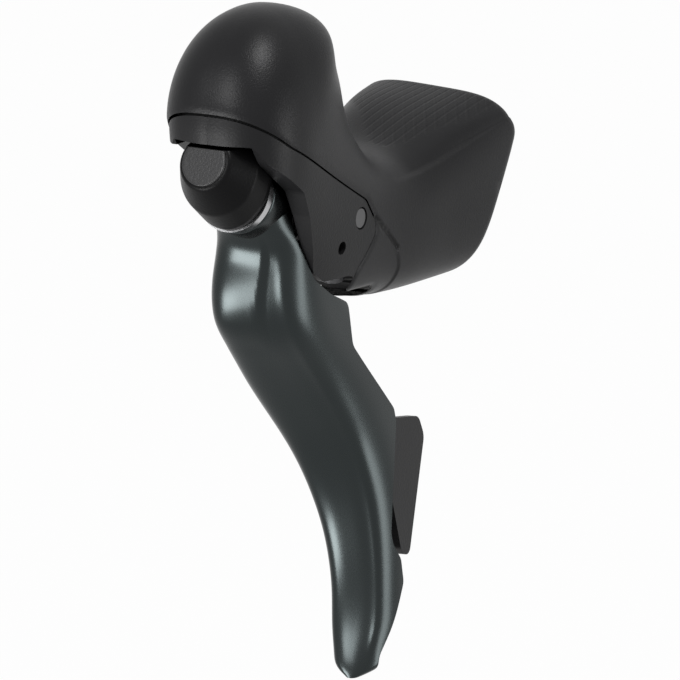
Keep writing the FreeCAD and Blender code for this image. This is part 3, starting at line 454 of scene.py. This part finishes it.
# %% [markdown]
# The blade is what the fingers pull: a pressed channel, open to the rear, with a rounded bead
# down its outboard edge and a knuckle below the pivot. A flat strip could be bent with modifiers,
# but the flare and the bead would each need one of their own. Level sections follow the whole
# curve at once, so each row of the table is a rounded square at one height, and bead and knuckle
# are added to its front.

# %% The blade's sections
BLADE = np.array([  # height, front face, middle across, half width, half depth, squareness, slant
    (16.0, -97.5, 0.0, 8.8, 9.0, 2.3, 0.0),
    (10.0, -95.8, 0.0, 9.6, 9.5, 2.5, 2.0),
    (4.0, -91.9, 0.0, 10.9, 10.5, 2.8, 5.0),
    (-3.0, -91.2, 0.0, 11.7, 12.0, 3.2, 9.0),
    (-10.0, -90.9, 0.0, 12.1, 14.0, 3.4, 13.0),
    (-18.0, -87.9, 0.1, 12.1, 16.0, 3.6, 17.0),
    (-26.0, -81.7, 0.3, 12.1, 17.0, 3.6, 20.0),
    (-34.0, -75.1, 0.8, 12.1, 17.0, 3.6, 22.0),
    (-42.0, -69.0, 1.7, 11.8, 17.0, 3.6, 22.0),
    (-50.0, -63.7, 2.9, 11.1, 16.0, 3.5, 22.0),
    (-58.0, -59.8, 4.3, 10.3, 14.0, 3.4, 21.0),
    (-66.0, -57.4, 5.8, 9.5, 12.0, 3.3, 20.0),
    (-74.0, -56.5, 7.3, 8.8, 11.0, 3.2, 18.0),
    (-82.0, -56.8, 8.7, 8.2, 10.0, 3.1, 17.0),
    (-90.0, -58.2, 10.0, 7.8, 9.0, 3.0, 16.0),
    (-98.0, -60.8, 11.1, 7.3, 8.0, 2.8, 15.0),
    (-104.0, -63.4, 11.8, 6.0, 6.6, 2.5, 14.0),
    (-107.2, -64.3, 12.2, 4.0, 4.8, 2.3, 14.0),
    (-108.4, -64.4, 12.3, 1.6, 2.6, 2.2, 14.0),
])
print("blade:", len(BLADE), "sections over", np.ptp(BLADE[:, 0]).round(1), "mm of height")

# %% The blade's outer form
BEAD_HEIGHT = 0.9
BEAD_PLACE, BEAD_WIDTH = 0.74, 0.17  # shares of the half width
BEAD_SPAN = (-107, 10, 6, 8)  # lower end, its fade, upper end, its fade
KNUCKLE_HEIGHT = 0.8
KNUCKLE_EDGE, KNUCKLE_SLANT = 0.42, 0.012  # share of the half width, and its change with height
KNUCKLE_FADE = 0.14
KNUCKLE_SPAN = (-23, 9, 9, 8)
FRONT_SHARE = 0.5  # both set in over this share of the half depth
TIP_DROP = 0.1  # how far the closing point lies below the last section


def band(z, low, low_fade, high, high_fade):
    """1 between two heights, falling smoothly to 0 at each."""
    return smooth((z - low) / low_fade) * smooth((high - z) / high_fade)


def blade_form(along=260, round_count=200):
    """Level rounded squares, slanted across and splined down the blade; the bead is a bell curve
    across the front, and the knuckle a plateau with a slanting edge."""
    heights = np.linspace(BLADE[0, 0], BLADE[-1, 0], along)
    columns = spline(-BLADE[:, 0], BLADE[:, 1:], -heights).T[..., None]
    front, middle, half, depth, power, slant = columns
    angle = 2 * np.pi * np.arange(round_count)[None] / round_count
    x, v = ring(angle, half, depth, power)
    z = heights[:, None] + 0 * x
    bead = BEAD_HEIGHT * np.exp(-((x / half - BEAD_PLACE) / BEAD_WIDTH) ** 2) * band(z, *BEAD_SPAN)
    knuckle = smooth((KNUCKLE_EDGE + KNUCKLE_SLANT * z - x / half) / KNUCKLE_FADE)
    knuckle = KNUCKLE_HEIGHT * knuckle * band(z, *KNUCKLE_SPAN)
    forward = smooth(v / depth / FRONT_SHARE) * (bead + knuckle)
    y = front + depth - v + x * np.tan(np.radians(slant)) - forward
    grid = np.stack([middle + x, y, z], -1)
    tip = grid[-1].mean(0) - [0, 0, TIP_DROP]
    return np.concatenate([grid.reshape(-1, 3), tip[None]]), grid_faces(along, round_count, True)


points, faces = blade_form()
print("blade before trimming:", np.ptp(points, axis=0).round(1), "mm")

# %% [markdown]
# The channel's two sides reach back to different lines: the outboard one is long, with a step
# that hides the paddle, and the inboard one is short. Two Boolean cutters could shape them one by
# one. Blending the two distances across the blade gives one smooth edge instead, and a last cut
# square to the shift shaft leaves a flat top for the collar.

# %% The blade's rear edges
OUTBOARD_REAR = [(-87.6, 30, 0), (-87.6, 8, 4), (-81.2, -4.5, 6), (-74, -9.5, 4), (-65.5, -13.5, 3),
                 (-63.5, -24.5, 4), (-45.2, -44.5, 3), (-44.5, -48, 2), (-50.2, -77, 8),
                 (-47, -82, 3), (-46.8, -88, 3), (-59, -104, 6), (-60, -120, 0), (-140, -120, 0),
                 (-140, 30, 0)]
INBOARD_REAR = [(-86, 30, 0), (-86, 6, 4), (-82, -10, 8), (-75, -26, 12), (-61, -44, 12),
                (-53.5, -57, 10), (-50, -72, 12), (-52, -88, 8), (-59, -104, 4), (-60, -120, 0),
                (-140, -120, 0), (-140, 30, 0)]
CHANGE_FROM, CHANGE_OVER = -3.5, 4.0  # where across the blade one line gives way to the other
SHIFT_POINT = np.array([0.0, -97.0, 18.0])  # a point on the shift shaft
SHIFT_TILT = math.radians(22.0)
SHIFT_WAY = np.array([0.0, -math.cos(SHIFT_TILT), math.sin(SHIFT_TILT)])  # along it, forwards
SHIFT_UP = np.array([0.0, math.sin(SHIFT_TILT), math.cos(SHIFT_TILT)])
COLLAR_FRONT = -1.1  # on the shaft
BLADE_WALL = 1.8

x, y, z = points.T
outboard = depth_inside(side_outline(OUTBOARD_REAR), y, z)
inboard = depth_inside(side_outline(INBOARD_REAR), y, z)
share = smooth((x - CHANGE_FROM) / CHANGE_OVER)
rear = inboard * (1 - share) + outboard * share
below = COLLAR_FRONT - (points - SHIFT_POINT) @ SHIFT_WAY
blade = np.column_stack([points, rear, below])
for column in (3, 4):  # rear and below
    blade, faces = trim(blade, faces, blade[:, column])
piece("blade_shell", blade, faces, "blade_body", "blade_lacquer", ["blade"], BLADE_WALL)

# %% [markdown]
# At its top the blade ends in a round collar that turns on the shift shaft. A cylinder with a
# bevel would come close. A turned profile gives the bore, the flat ends and the rounded corners
# together, as a lathe does.

# %% Collar of the blade
COLLAR = np.array([  # place on the shaft, radius
    (COLLAR_FRONT, 4.1), (COLLAR_FRONT, 8.7), (-1.5, 9.2), (-2.1, 9.3), (-8.6, 9.3), (-9.1, 9.1),
    (-9.3, 8.6), (-9.3, 4.1), (COLLAR_FRONT, 4.1)])


def turned_profile(profile, steps=96):
    """A profile of (place on the shaft, radius) turned about the shaft: the radius swings from the
    X direction towards the shaft's own up."""
    place, radius = profile.T[..., None, None]
    angle = 2 * np.pi * np.arange(steps)[:, None] / steps
    spoke = np.cos(angle) * [1.0, 0, 0] + np.sin(angle) * SHIFT_UP
    grid = SHIFT_POINT + place * SHIFT_WAY + radius * spoke
    return grid.reshape(-1, 3), grid_faces(len(profile), steps)


points, faces = turned_profile(COLLAR)
piece("blade_collar", points, faces, "blade_body", "blade_lacquer")

# %% [markdown]
# The nose is a moulded cap that hides the front end of the shift shaft: a barrel, then a cone,
# then a flat front. It is cut off straight under the bracket's strip. It could be spun from a
# curve, but it is not quite round, so each section is an ellipse square to the shaft, with its
# middle a little above it. Averaging the profile over a short width rounds its corners.

# %% The nose
NOSE = np.array([  # place on the shaft, middle above it, half width, half height
    (1.3, 2.6, 9.5, 11.5), (3.2, 2.8, 10.0, 11.8), (9.4, 3.5, 10.1, 10.6), (16.2, 3.9, 6.5, 6.4),
    (16.5, 3.9, 5.9, 5.8), (16.5, 3.9, 0.1, 0.1)])
NOSE_ROWS, NOSE_SOFT, NOSE_WALL = 110, 0.9, 1.2
STRIP_Y, STRIP_Z = -104.9, 30.8  # the strip lies ahead of the one and above the other


def softened(table, count, width, samples=9):
    """The table's polyline at even steps, each the mean of a few places across a short width."""
    steps = np.linalg.norm(np.diff(table[:, [0, 3]], axis=0), axis=1)
    knots = np.concatenate([[0], np.cumsum(steps)])
    at = np.linspace(0, knots[-1], count)
    shifts = np.linspace(-width / 2, width / 2, samples)
    near = np.clip(at[:, None] + shifts, 0, knots[-1])
    return np.stack([np.interp(near, knots, column).mean(1) for column in table.T], 1)


def about_shaft(profile, steps=120):
    """Ellipses square to the shift shaft, one for each row of the profile; one more point closes
    the last."""
    place, rise, half_width, half_height = profile.T[..., None]
    angle = 2 * np.pi * np.arange(steps) / steps
    up = rise + half_height * np.sin(angle)
    grid = SHIFT_POINT + place[..., None] * SHIFT_WAY + up[..., None] * SHIFT_UP
    grid[..., 0] += half_width * np.cos(angle)
    points = np.concatenate([grid.reshape(-1, 3), grid[-1].mean(0)[None]])
    return points, grid_faces(len(profile), steps, True)


def under_strip(points, faces):
    """Cuts away what would stand in the bracket's strip."""
    return trim(points, faces, np.maximum(STRIP_Z - points[:, 2], points[:, 1] - STRIP_Y))


points, faces = under_strip(*about_shaft(softened(NOSE, NOSE_ROWS, NOSE_SOFT)))
piece("nose_shell", points, faces, "head_body", "nose_plastic", ["nose_cap"], NOSE_WALL)

# %% [markdown]
# A thin pad of a paler plastic sits on the nose's flat front. It could be a patch of another
# colour, but the real one stands out a little and catches the light on its edge. It is made as
# the nose is.

# %% The nose's pad
PAD = np.array([  # the same columns as the nose
    (16.52, 3.9, 5.6, 5.5), (16.9, 3.9, 5.6, 5.5), (17.0, 3.9, 5.3, 5.2), (17.0, 3.9, 0.1, 0.1)])
PAD_ROWS, PAD_SOFT = 40, 0.3
points, faces = under_strip(*about_shaft(softened(PAD, PAD_ROWS, PAD_SOFT)))
piece("nose_pad_face", points, faces, "head_body", "pad_plastic", ["nose_pad"])

# %% [markdown]
# A finish is a small tree of shader nodes. The trees could be wired box by box in the editor, but
# as sums they are easier to read and to change. So one class wraps a socket: its operators add
# the Math nodes, and one method adds every other kind of node.

# %% Shader sums
class Tone:
    """A socket in a tree of nodes: +, - and * add Math nodes, and node() adds any other kind."""

    def __init__(self, tree, socket=None):
        self.tree, self.socket = tree, socket

    def feed(self, made, inputs):
        """Gives each input of a node its value, or a link where the value is a tone."""
        for key, value in inputs.items():
            if isinstance(value, Tone):
                self.tree.links.new(value.socket, made.inputs[key])
            else:
                made.inputs[key].default_value = value

    def node(self, kind, settings=None, inputs=None, out=0):
        """A new node of this kind, with its settings first and then its inputs; gives one of its
        outputs, if it has any."""
        made = self.tree.nodes.new(kind)
        for key, value in (settings or {}).items():
            setattr(made, key, value)
        self.feed(made, inputs or {})
        return Tone(self.tree, made.outputs[out] if len(made.outputs) else None)

    def maths(self, operation, a, b):
        return self.node("ShaderNodeMath", {"operation": operation}, {0: a, 1: b})

    def __add__(self, other): return self.maths("ADD", self, other)
    def __radd__(self, other): return self.maths("ADD", other, self)
    def __sub__(self, other): return self.maths("SUBTRACT", self, other)
    def __rsub__(self, other): return self.maths("SUBTRACT", other, self)
    def __mul__(self, other): return self.maths("MULTIPLY", self, other)
    def __rmul__(self, other): return self.maths("MULTIPLY", other, self)

    def blend(self, dark, light):
        """This tone as the share between two colours; a Mix node's colours are inputs 6 and 7, and
        output 2, after those of its other data types."""
        dark, light = (c if isinstance(c, Tone) else (*c, 1) for c in (dark, light))
        inputs = {0: self, 6: dark, 7: light}
        return self.node("ShaderNodeMix", {"data_type": "RGBA"}, inputs, 2)

    def noise(self, scale, detail):
        """Cloudy noise at this many cells a metre, from the tone as a place."""
        return self.node("ShaderNodeTexNoise", None,
                         {"Vector": self, "Scale": scale, "Detail": detail})


print("a tone has", sum(name.startswith("__r") for name in vars(Tone)), "reflected operators")

# %% A material from sums
FINISHES = {}


def finish(name, paint, **plain):
    """A material: plain values go on the shader's own sockets, and paint(place) gives the values
    that change over the surface."""
    made = bpy.data.materials.new(name)
    made.use_nodes = True
    place = Tone(made.node_tree).node("ShaderNodeTexCoord", out="Object")
    plain = {key.replace("_", " "): value for key, value in plain.items()}
    place.feed(made.node_tree.nodes["Principled BSDF"], {**plain, **paint(place)})
    FINISHES[name] = made


def bump(height, strength, depth):
    """A Bump node on this height, for the Normal socket."""
    return height.node("ShaderNodeBump", None,
                       {"Strength": strength, "Distance": depth, "Height": height})


# %% [markdown]
# The hood's rubber is nearly black, with a grain that shows only where light skims over it, and a
# fine pattern for grip on top of the saddle. A picture texture could hold the pattern. Two sets
# of grooves worked out from the place stay sharp at any size, and the mark that was left on the
# mesh says where they are. The slit's gap gets painted shade: its colour is made darker still.

# %% Rubber
GRIP_GROOVES = [(0.1, 0.0022), (-0.51, 0.0026)]  # turn in radians, pitch in metres
GROOVE_WIDTH = 0.3  # how far up the wave a groove reaches
WAVE_TURN = 20.0  # a Wave Texture of scale 1 turns by this many radians in a metre
RUBBER_GRAIN, RUBBER_CLOUD = (2600, 3), (45, 2)  # cells a metre, detail
RUBBER_DARK, RUBBER_LIGHT = (0.0052, 0.0052, 0.0057), (0.0074, 0.0074, 0.008)
# painted shade: the slit's gap takes this darker colour, most of the way
SLIT_SHADE_COLOUR, SLIT_SHADE_SHARE = (0.003, 0.003, 0.003), 0.9
RUBBER_ROUGH, GRAIN_ROUGH, FIELD_ROUGH = 0.32, 0.08, 0.1
GRAIN_RELIEF, GROOVE_RELIEF = 0.5, 0.8
RUBBER_BUMP = (0.4, 0.0003)  # strength, depth in metres


def grooves(place, turn, pitch):
    """Fine straight grooves across the X direction turned by this angle: 1 in a groove."""
    along = place.node("ShaderNodeMapping", None, {"Vector": place, "Rotation": (0, 0, turn)})
    scale = 2 * math.pi / (WAVE_TURN * pitch)
    wave = place.node("ShaderNodeTexWave", None, {"Vector": along, "Scale": scale})
    return place.node("ShaderNodeMapRange", None, {
        "Value": wave, "From Min": GROOVE_WIDTH, "From Max": 0.0, "To Min": 0.0, "To Max": 1.0})


def mark(place, name):
    """The value that a piece's mesh has at each point under this name."""
    return place.node("ShaderNodeAttribute", {"attribute_name": name}, out="Fac")


def rubber(place):
    grain, cloud = place.noise(*RUBBER_GRAIN), place.noise(*RUBBER_CLOUD)
    field, slit = mark(place, "field"), mark(place, "slit")
    first, second = (grooves(place, *line) for line in GRIP_GROOVES)
    weave = (first + second) * field
    return {
        # painted shade in the slit: its colour goes most of the way to a darker one
        "Base Color": (slit * SLIT_SHADE_SHARE).blend(cloud.blend(RUBBER_DARK, RUBBER_LIGHT), SLIT_SHADE_COLOUR),
        "Roughness": RUBBER_ROUGH + grain * GRAIN_ROUGH + field * FIELD_ROUGH,
        "Normal": bump(grain * GRAIN_RELIEF - weave * GROOVE_RELIEF, *RUBBER_BUMP),
    }


finish("hood_rubber", rubber, Specular_IOR_Level=0.12)
print("rubber:", len(FINISHES["hood_rubber"].node_tree.nodes), "nodes")

# %% [markdown]
# The bracket, the nose, the paddle and the small parts inside are moulded plastics and seals. One
# flat colour would do from afar. Up close a moulding has a fine grain from its tool and is never
# one even tone, so noise moves the colour slowly and the roughness and height finely. A low
# specular level keeps the black ones deep under a white sky.

# %% Plastics and seals
PLASTIC_GRAIN, PLASTIC_CLOUD = (1800, 2), (60, 2)  # cells a metre, detail
PLASTIC_SWING = 0.1  # how far the grain moves the roughness
PLASTIC_BUMP = (0.25, 0.0002)  # strength, depth in metres
PLASTICS = {  # dark colour, light colour, roughness, specular level
    "bracket_plastic": ((0.0055, 0.0055, 0.0059), (0.0075, 0.0075, 0.008), 0.42, 0.12),
    "lid_plastic": ((0.014, 0.014, 0.014), (0.02, 0.02, 0.02), 0.45, 0.5),
    "seal_rubber": ((0.012, 0.012, 0.012), (0.02, 0.02, 0.02), 0.6, 0.5),
    "nose_plastic": ((0.0025, 0.0025, 0.0027), (0.0035, 0.0035, 0.0037), 0.36, 0.06),
    "pad_plastic": ((0.013, 0.013, 0.0135), (0.017, 0.017, 0.0175), 0.34, 0.2),
    "paddle_plastic": ((0.006, 0.006, 0.0064), (0.008, 0.008, 0.0084), 0.45, 0.16),
    "drum_plastic": ((0.03, 0.03, 0.03), (0.05, 0.05, 0.05), 0.45, 0.5),
}


def moulded(dark, light, rough):
    """A slow change of colour, and a fine grain in roughness and height."""
    def paint(place):
        grain, cloud = place.noise(*PLASTIC_GRAIN), place.noise(*PLASTIC_CLOUD)
        return {
            "Base Color": cloud.blend(dark, light),
            "Roughness": rough + (grain - 0.5) * PLASTIC_SWING,
            "Normal": bump(grain, *PLASTIC_BUMP),
        }
    return paint


for name, (dark, light, rough, specular) in PLASTICS.items():
    finish(name, moulded(dark, light, rough), Specular_IOR_Level=specular)
print("plastics and seals:", len(PLASTICS))

# %% [markdown]
# The blade is metal under a dark grey-green lacquer with fine flakes. It could be a clear coat
# over a colour. A dark metal with a changing roughness gives the same soft, long highlights with
# fewer layers to bake.

# %% Lacquer
FLAKE, LACQUER_CLOUD = (5200, 1), (30, 2)  # cells a metre, detail
LACQUER_DARK, LACQUER_LIGHT = (0.026, 0.03, 0.0305), (0.034, 0.0395, 0.04)
FLAKE_SHARE = 0.5  # of the change in colour; the cloud has the rest
LACQUER_ROUGH, FLAKE_ROUGH = 0.24, 0.06


def lacquer(place):
    flake, cloud = place.noise(*FLAKE), place.noise(*LACQUER_CLOUD)
    share = cloud * (1 - FLAKE_SHARE) + flake * FLAKE_SHARE
    return {
        "Base Color": share.blend(LACQUER_DARK, LACQUER_LIGHT),
        "Roughness": LACQUER_ROUGH + flake * FLAKE_ROUGH,
    }


finish("blade_lacquer", lacquer, Metallic=1.0)
print("lacquer:", len(FINISHES["blade_lacquer"].node_tree.nodes), "nodes")

# %% [markdown]
# Axles, springs, screws and the clamp are bare or blackened metals. Each could be one colour with
# one roughness. Turned and drawn metal is uneven, so a fine noise moves the roughness, and a slow
# one the colour.

# %% Metals
METAL_STREAK, METAL_CLOUD = (900, 4), (80, 2)  # cells a metre, detail
METAL_SWING = 0.14  # how far the streaks move the roughness
METALS = {  # dark colour, light colour, roughness
    "dark_steel": ((0.025, 0.025, 0.026), (0.04, 0.04, 0.041), 0.4),
    "axle_steel": ((0.07, 0.07, 0.072), (0.1, 0.1, 0.102), 0.34),
    "band_steel": ((0.075, 0.075, 0.078), (0.105, 0.105, 0.108), 0.54),
    "cast_alloy": ((0.018, 0.018, 0.019), (0.03, 0.03, 0.031), 0.5),
    "spring_steel": ((0.05, 0.05, 0.052), (0.075, 0.075, 0.076), 0.42),
    "bush_brass": ((0.5, 0.36, 0.16), (0.6, 0.44, 0.2), 0.34),
    "rim_chrome": ((0.4, 0.4, 0.41), (0.5, 0.5, 0.51), 0.22),
}


def metal(dark, light, rough):
    """A slow change of colour, and a fine one in roughness."""
    def paint(place):
        streak, cloud = place.noise(*METAL_STREAK), place.noise(*METAL_CLOUD)
        return {
            "Base Color": cloud.blend(dark, light),
            "Roughness": rough + (streak - 0.5) * METAL_SWING,
        }
    return paint


for name, colours_and_rough in METALS.items():
    finish(name, metal(*colours_and_rough), Metallic=1.0)
print("metals:", len(METALS))

# %% [markdown]
# The frame's record names a material for every solid, and each new piece was given one when it
# was made. They could be set by hand, piece by piece, but then a name in the record could be
# missed.

# %% Every piece gets its finish
slot_of = {row["node"]: row["material_slot"] for row in frame["record"]["subparts"]}
for node, made in frame["nodes"].items():
    made.data.materials.clear()
    made.data.materials.append(FINISHES[slot_of[node]])
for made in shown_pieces():
    if "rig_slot" in made:
        made.data.materials.clear()
        made.data.materials.append(FINISHES[made["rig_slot"]])
print("finishes:", len(FINISHES))

# %% [markdown]
# The lever is seen from ahead and outboard, a little from above, with a long lens. A camera could
# be aimed with a Track To constraint. Its turn follows directly from the azimuth and the
# elevation, so it is set as two angles. The lens follows from how many pixels a millimetre of the
# lever takes up, and a shift moves the picture without turning the view.

# %% Camera
AZIMUTH, ELEVATION, DISTANCE = math.radians(30.0), math.radians(15.0), 0.9
TARGET = np.array([0.0, -0.070, -0.020])
PICTURE = 680  # pixels along a side
PIXELS_PER_MM = 4.2  # at the target
SHIFT = (45.3, -13.4)  # pixels
SENSOR = 36.0
CLIP = (0.01, 50.0)
back = np.array([math.sin(AZIMUTH) * math.cos(ELEVATION),
                 -math.cos(AZIMUTH) * math.cos(ELEVATION), math.sin(ELEVATION)])
camera_data = bpy.data.cameras.new("camera")
camera_data.sensor_width = SENSOR
camera_data.lens = SENSOR * DISTANCE / (PICTURE / PIXELS_PER_MM * MM)
camera_data.shift_x, camera_data.shift_y = SHIFT[0] / PICTURE, SHIFT[1] / PICTURE
camera_data.clip_start, camera_data.clip_end = CLIP
camera = bpy.data.objects.new("camera", camera_data)
camera.location = TARGET + back * DISTANCE
camera.rotation_euler = (math.pi / 2 - ELEVATION, 0.0, AZIMUTH)
bpy.context.scene.collection.objects.link(camera)
bpy.context.scene.camera = camera
print("lens:", round(camera_data.lens), "mm")

# %% [markdown]
# The lever hangs before a white ground, as in a catalogue. More light on the lever would whiten
# the ground too, but it would bleach the lever. Instead the floor, far below, and the sky are
# white only to the rays that the camera, mirrors and glass send out. For all other light the
# floor is pale paper, and the sky is dimmer.

# %% Floor
FLOOR_HALF, FLOOR_DROP = 6.0, 0.7
FLOOR_WHITE = 0.97  # share of white in what is seen of the floor; the rest keeps its shadows
PAPER = (0.9, 0.9, 0.9, 1)
WHITE = (1, 1, 1, 1)


def seen(tone):
    """1 for rays from the camera, from mirrors and through glass, and 0 for other light."""
    camera_ray, glossy, glass = (tone.node("ShaderNodeLightPath", out=kind) for kind in (
        "Is Camera Ray", "Is Glossy Ray", "Is Transmission Ray"))
    return camera_ray + glossy + glass


height = cad_box[0].z - FLOOR_DROP
corners = [(-1, -1), (1, -1), (1, 1), (-1, 1)]
corners = [(x * FLOOR_HALF, y * FLOOR_HALF, height) for x, y in corners]
floor_mesh = bpy.data.meshes.new("floor")
floor_mesh.from_pydata(corners, [], [(0, 1, 2, 3)])
floor = bpy.data.objects.new("floor", floor_mesh)
bpy.context.scene.collection.objects.link(floor)
paper = bpy.data.materials.new("floor_paper")
paper.use_nodes = True
paper.node_tree.nodes.clear()
tone = Tone(paper.node_tree)
matt = tone.node("ShaderNodeBsdfDiffuse", None, {"Color": PAPER})
light = tone.node("ShaderNodeEmission", None, {"Color": WHITE, "Strength": 1.0})
both = tone.node("ShaderNodeMixShader", None, {0: seen(tone) * FLOOR_WHITE, 1: matt, 2: light})
tone.node("ShaderNodeOutputMaterial", None, {"Surface": both})
floor_mesh.materials.append(paper)
print("floor at", round(height, 3), "m")

# %% Sky
SKY_LIGHT = 0.45  # strength of the sky as a light
world = bpy.data.worlds.new("studio")
bpy.context.scene.world = world
world.use_nodes = True
world.node_tree.nodes.clear()
tone = Tone(world.node_tree)
strength = SKY_LIGHT + seen(tone) * (1 - SKY_LIGHT)
glow = tone.node("ShaderNodeBackground", None, {"Color": WHITE, "Strength": strength})
tone.node("ShaderNodeOutputWorld", None, {"Surface": glow})
print("sky:", SKY_LIGHT, "as a light, 1 where it is seen")

# %% [markdown]
# Soft boxes light such a lever in a studio: one low in front for the blade's knuckle and bead,
# one high in front, one at the outboard side and one above for the horn. Points or suns would
# give hard shadows and tiny highlights. Area lamps have a size, and on dark lacquer that size is
# what shows.

# %% Lamps
LAMPS = {  # place, aim, width and height in metres, watts
    "lamp_front_low": ((-0.24, -0.72, -0.29), (0.0, -0.09, -0.01), 0.36, 0.28, 6.0),
    "lamp_front_high": ((-0.12, -0.78, 0.36), (0.0, -0.06, -0.05), 0.3, 0.3, 4.0),
    "lamp_right": ((0.9, 0.2, -0.25), (0.0, -0.06, -0.05), 0.25, 0.6, 3.5),
    "lamp_top": ((0.45, -0.17, 0.86), (0.0, -0.06, 0.03), 0.36, 0.36, 9.0),
}


def lamp(name, place, aim, width, height, power):
    """An area lamp at place: it tips by the angle of its way to aim from straight down, and turns
    by that way's heading."""
    data = bpy.data.lights.new(name, "AREA")
    data.shape = "RECTANGLE"
    data.size, data.size_y, data.energy = width, height, power
    made = bpy.data.objects.new(name, data)
    made.location = place
    x, y, z = np.subtract(aim, place)
    made.rotation_euler = (math.atan2(math.hypot(x, y), -z), 0.0, math.atan2(x, -y) + math.pi)
    bpy.context.scene.collection.objects.link(made)


for name, settings in LAMPS.items():
    lamp(name, *settings)
bpy.context.scene.view_settings.view_transform = "Standard"
print("lamps:", len(LAMPS), "with", sum(row[-1] for row in LAMPS.values()), "W in all")

# %% [markdown]
# A new skin is easily a little larger than the solid that it stands for.
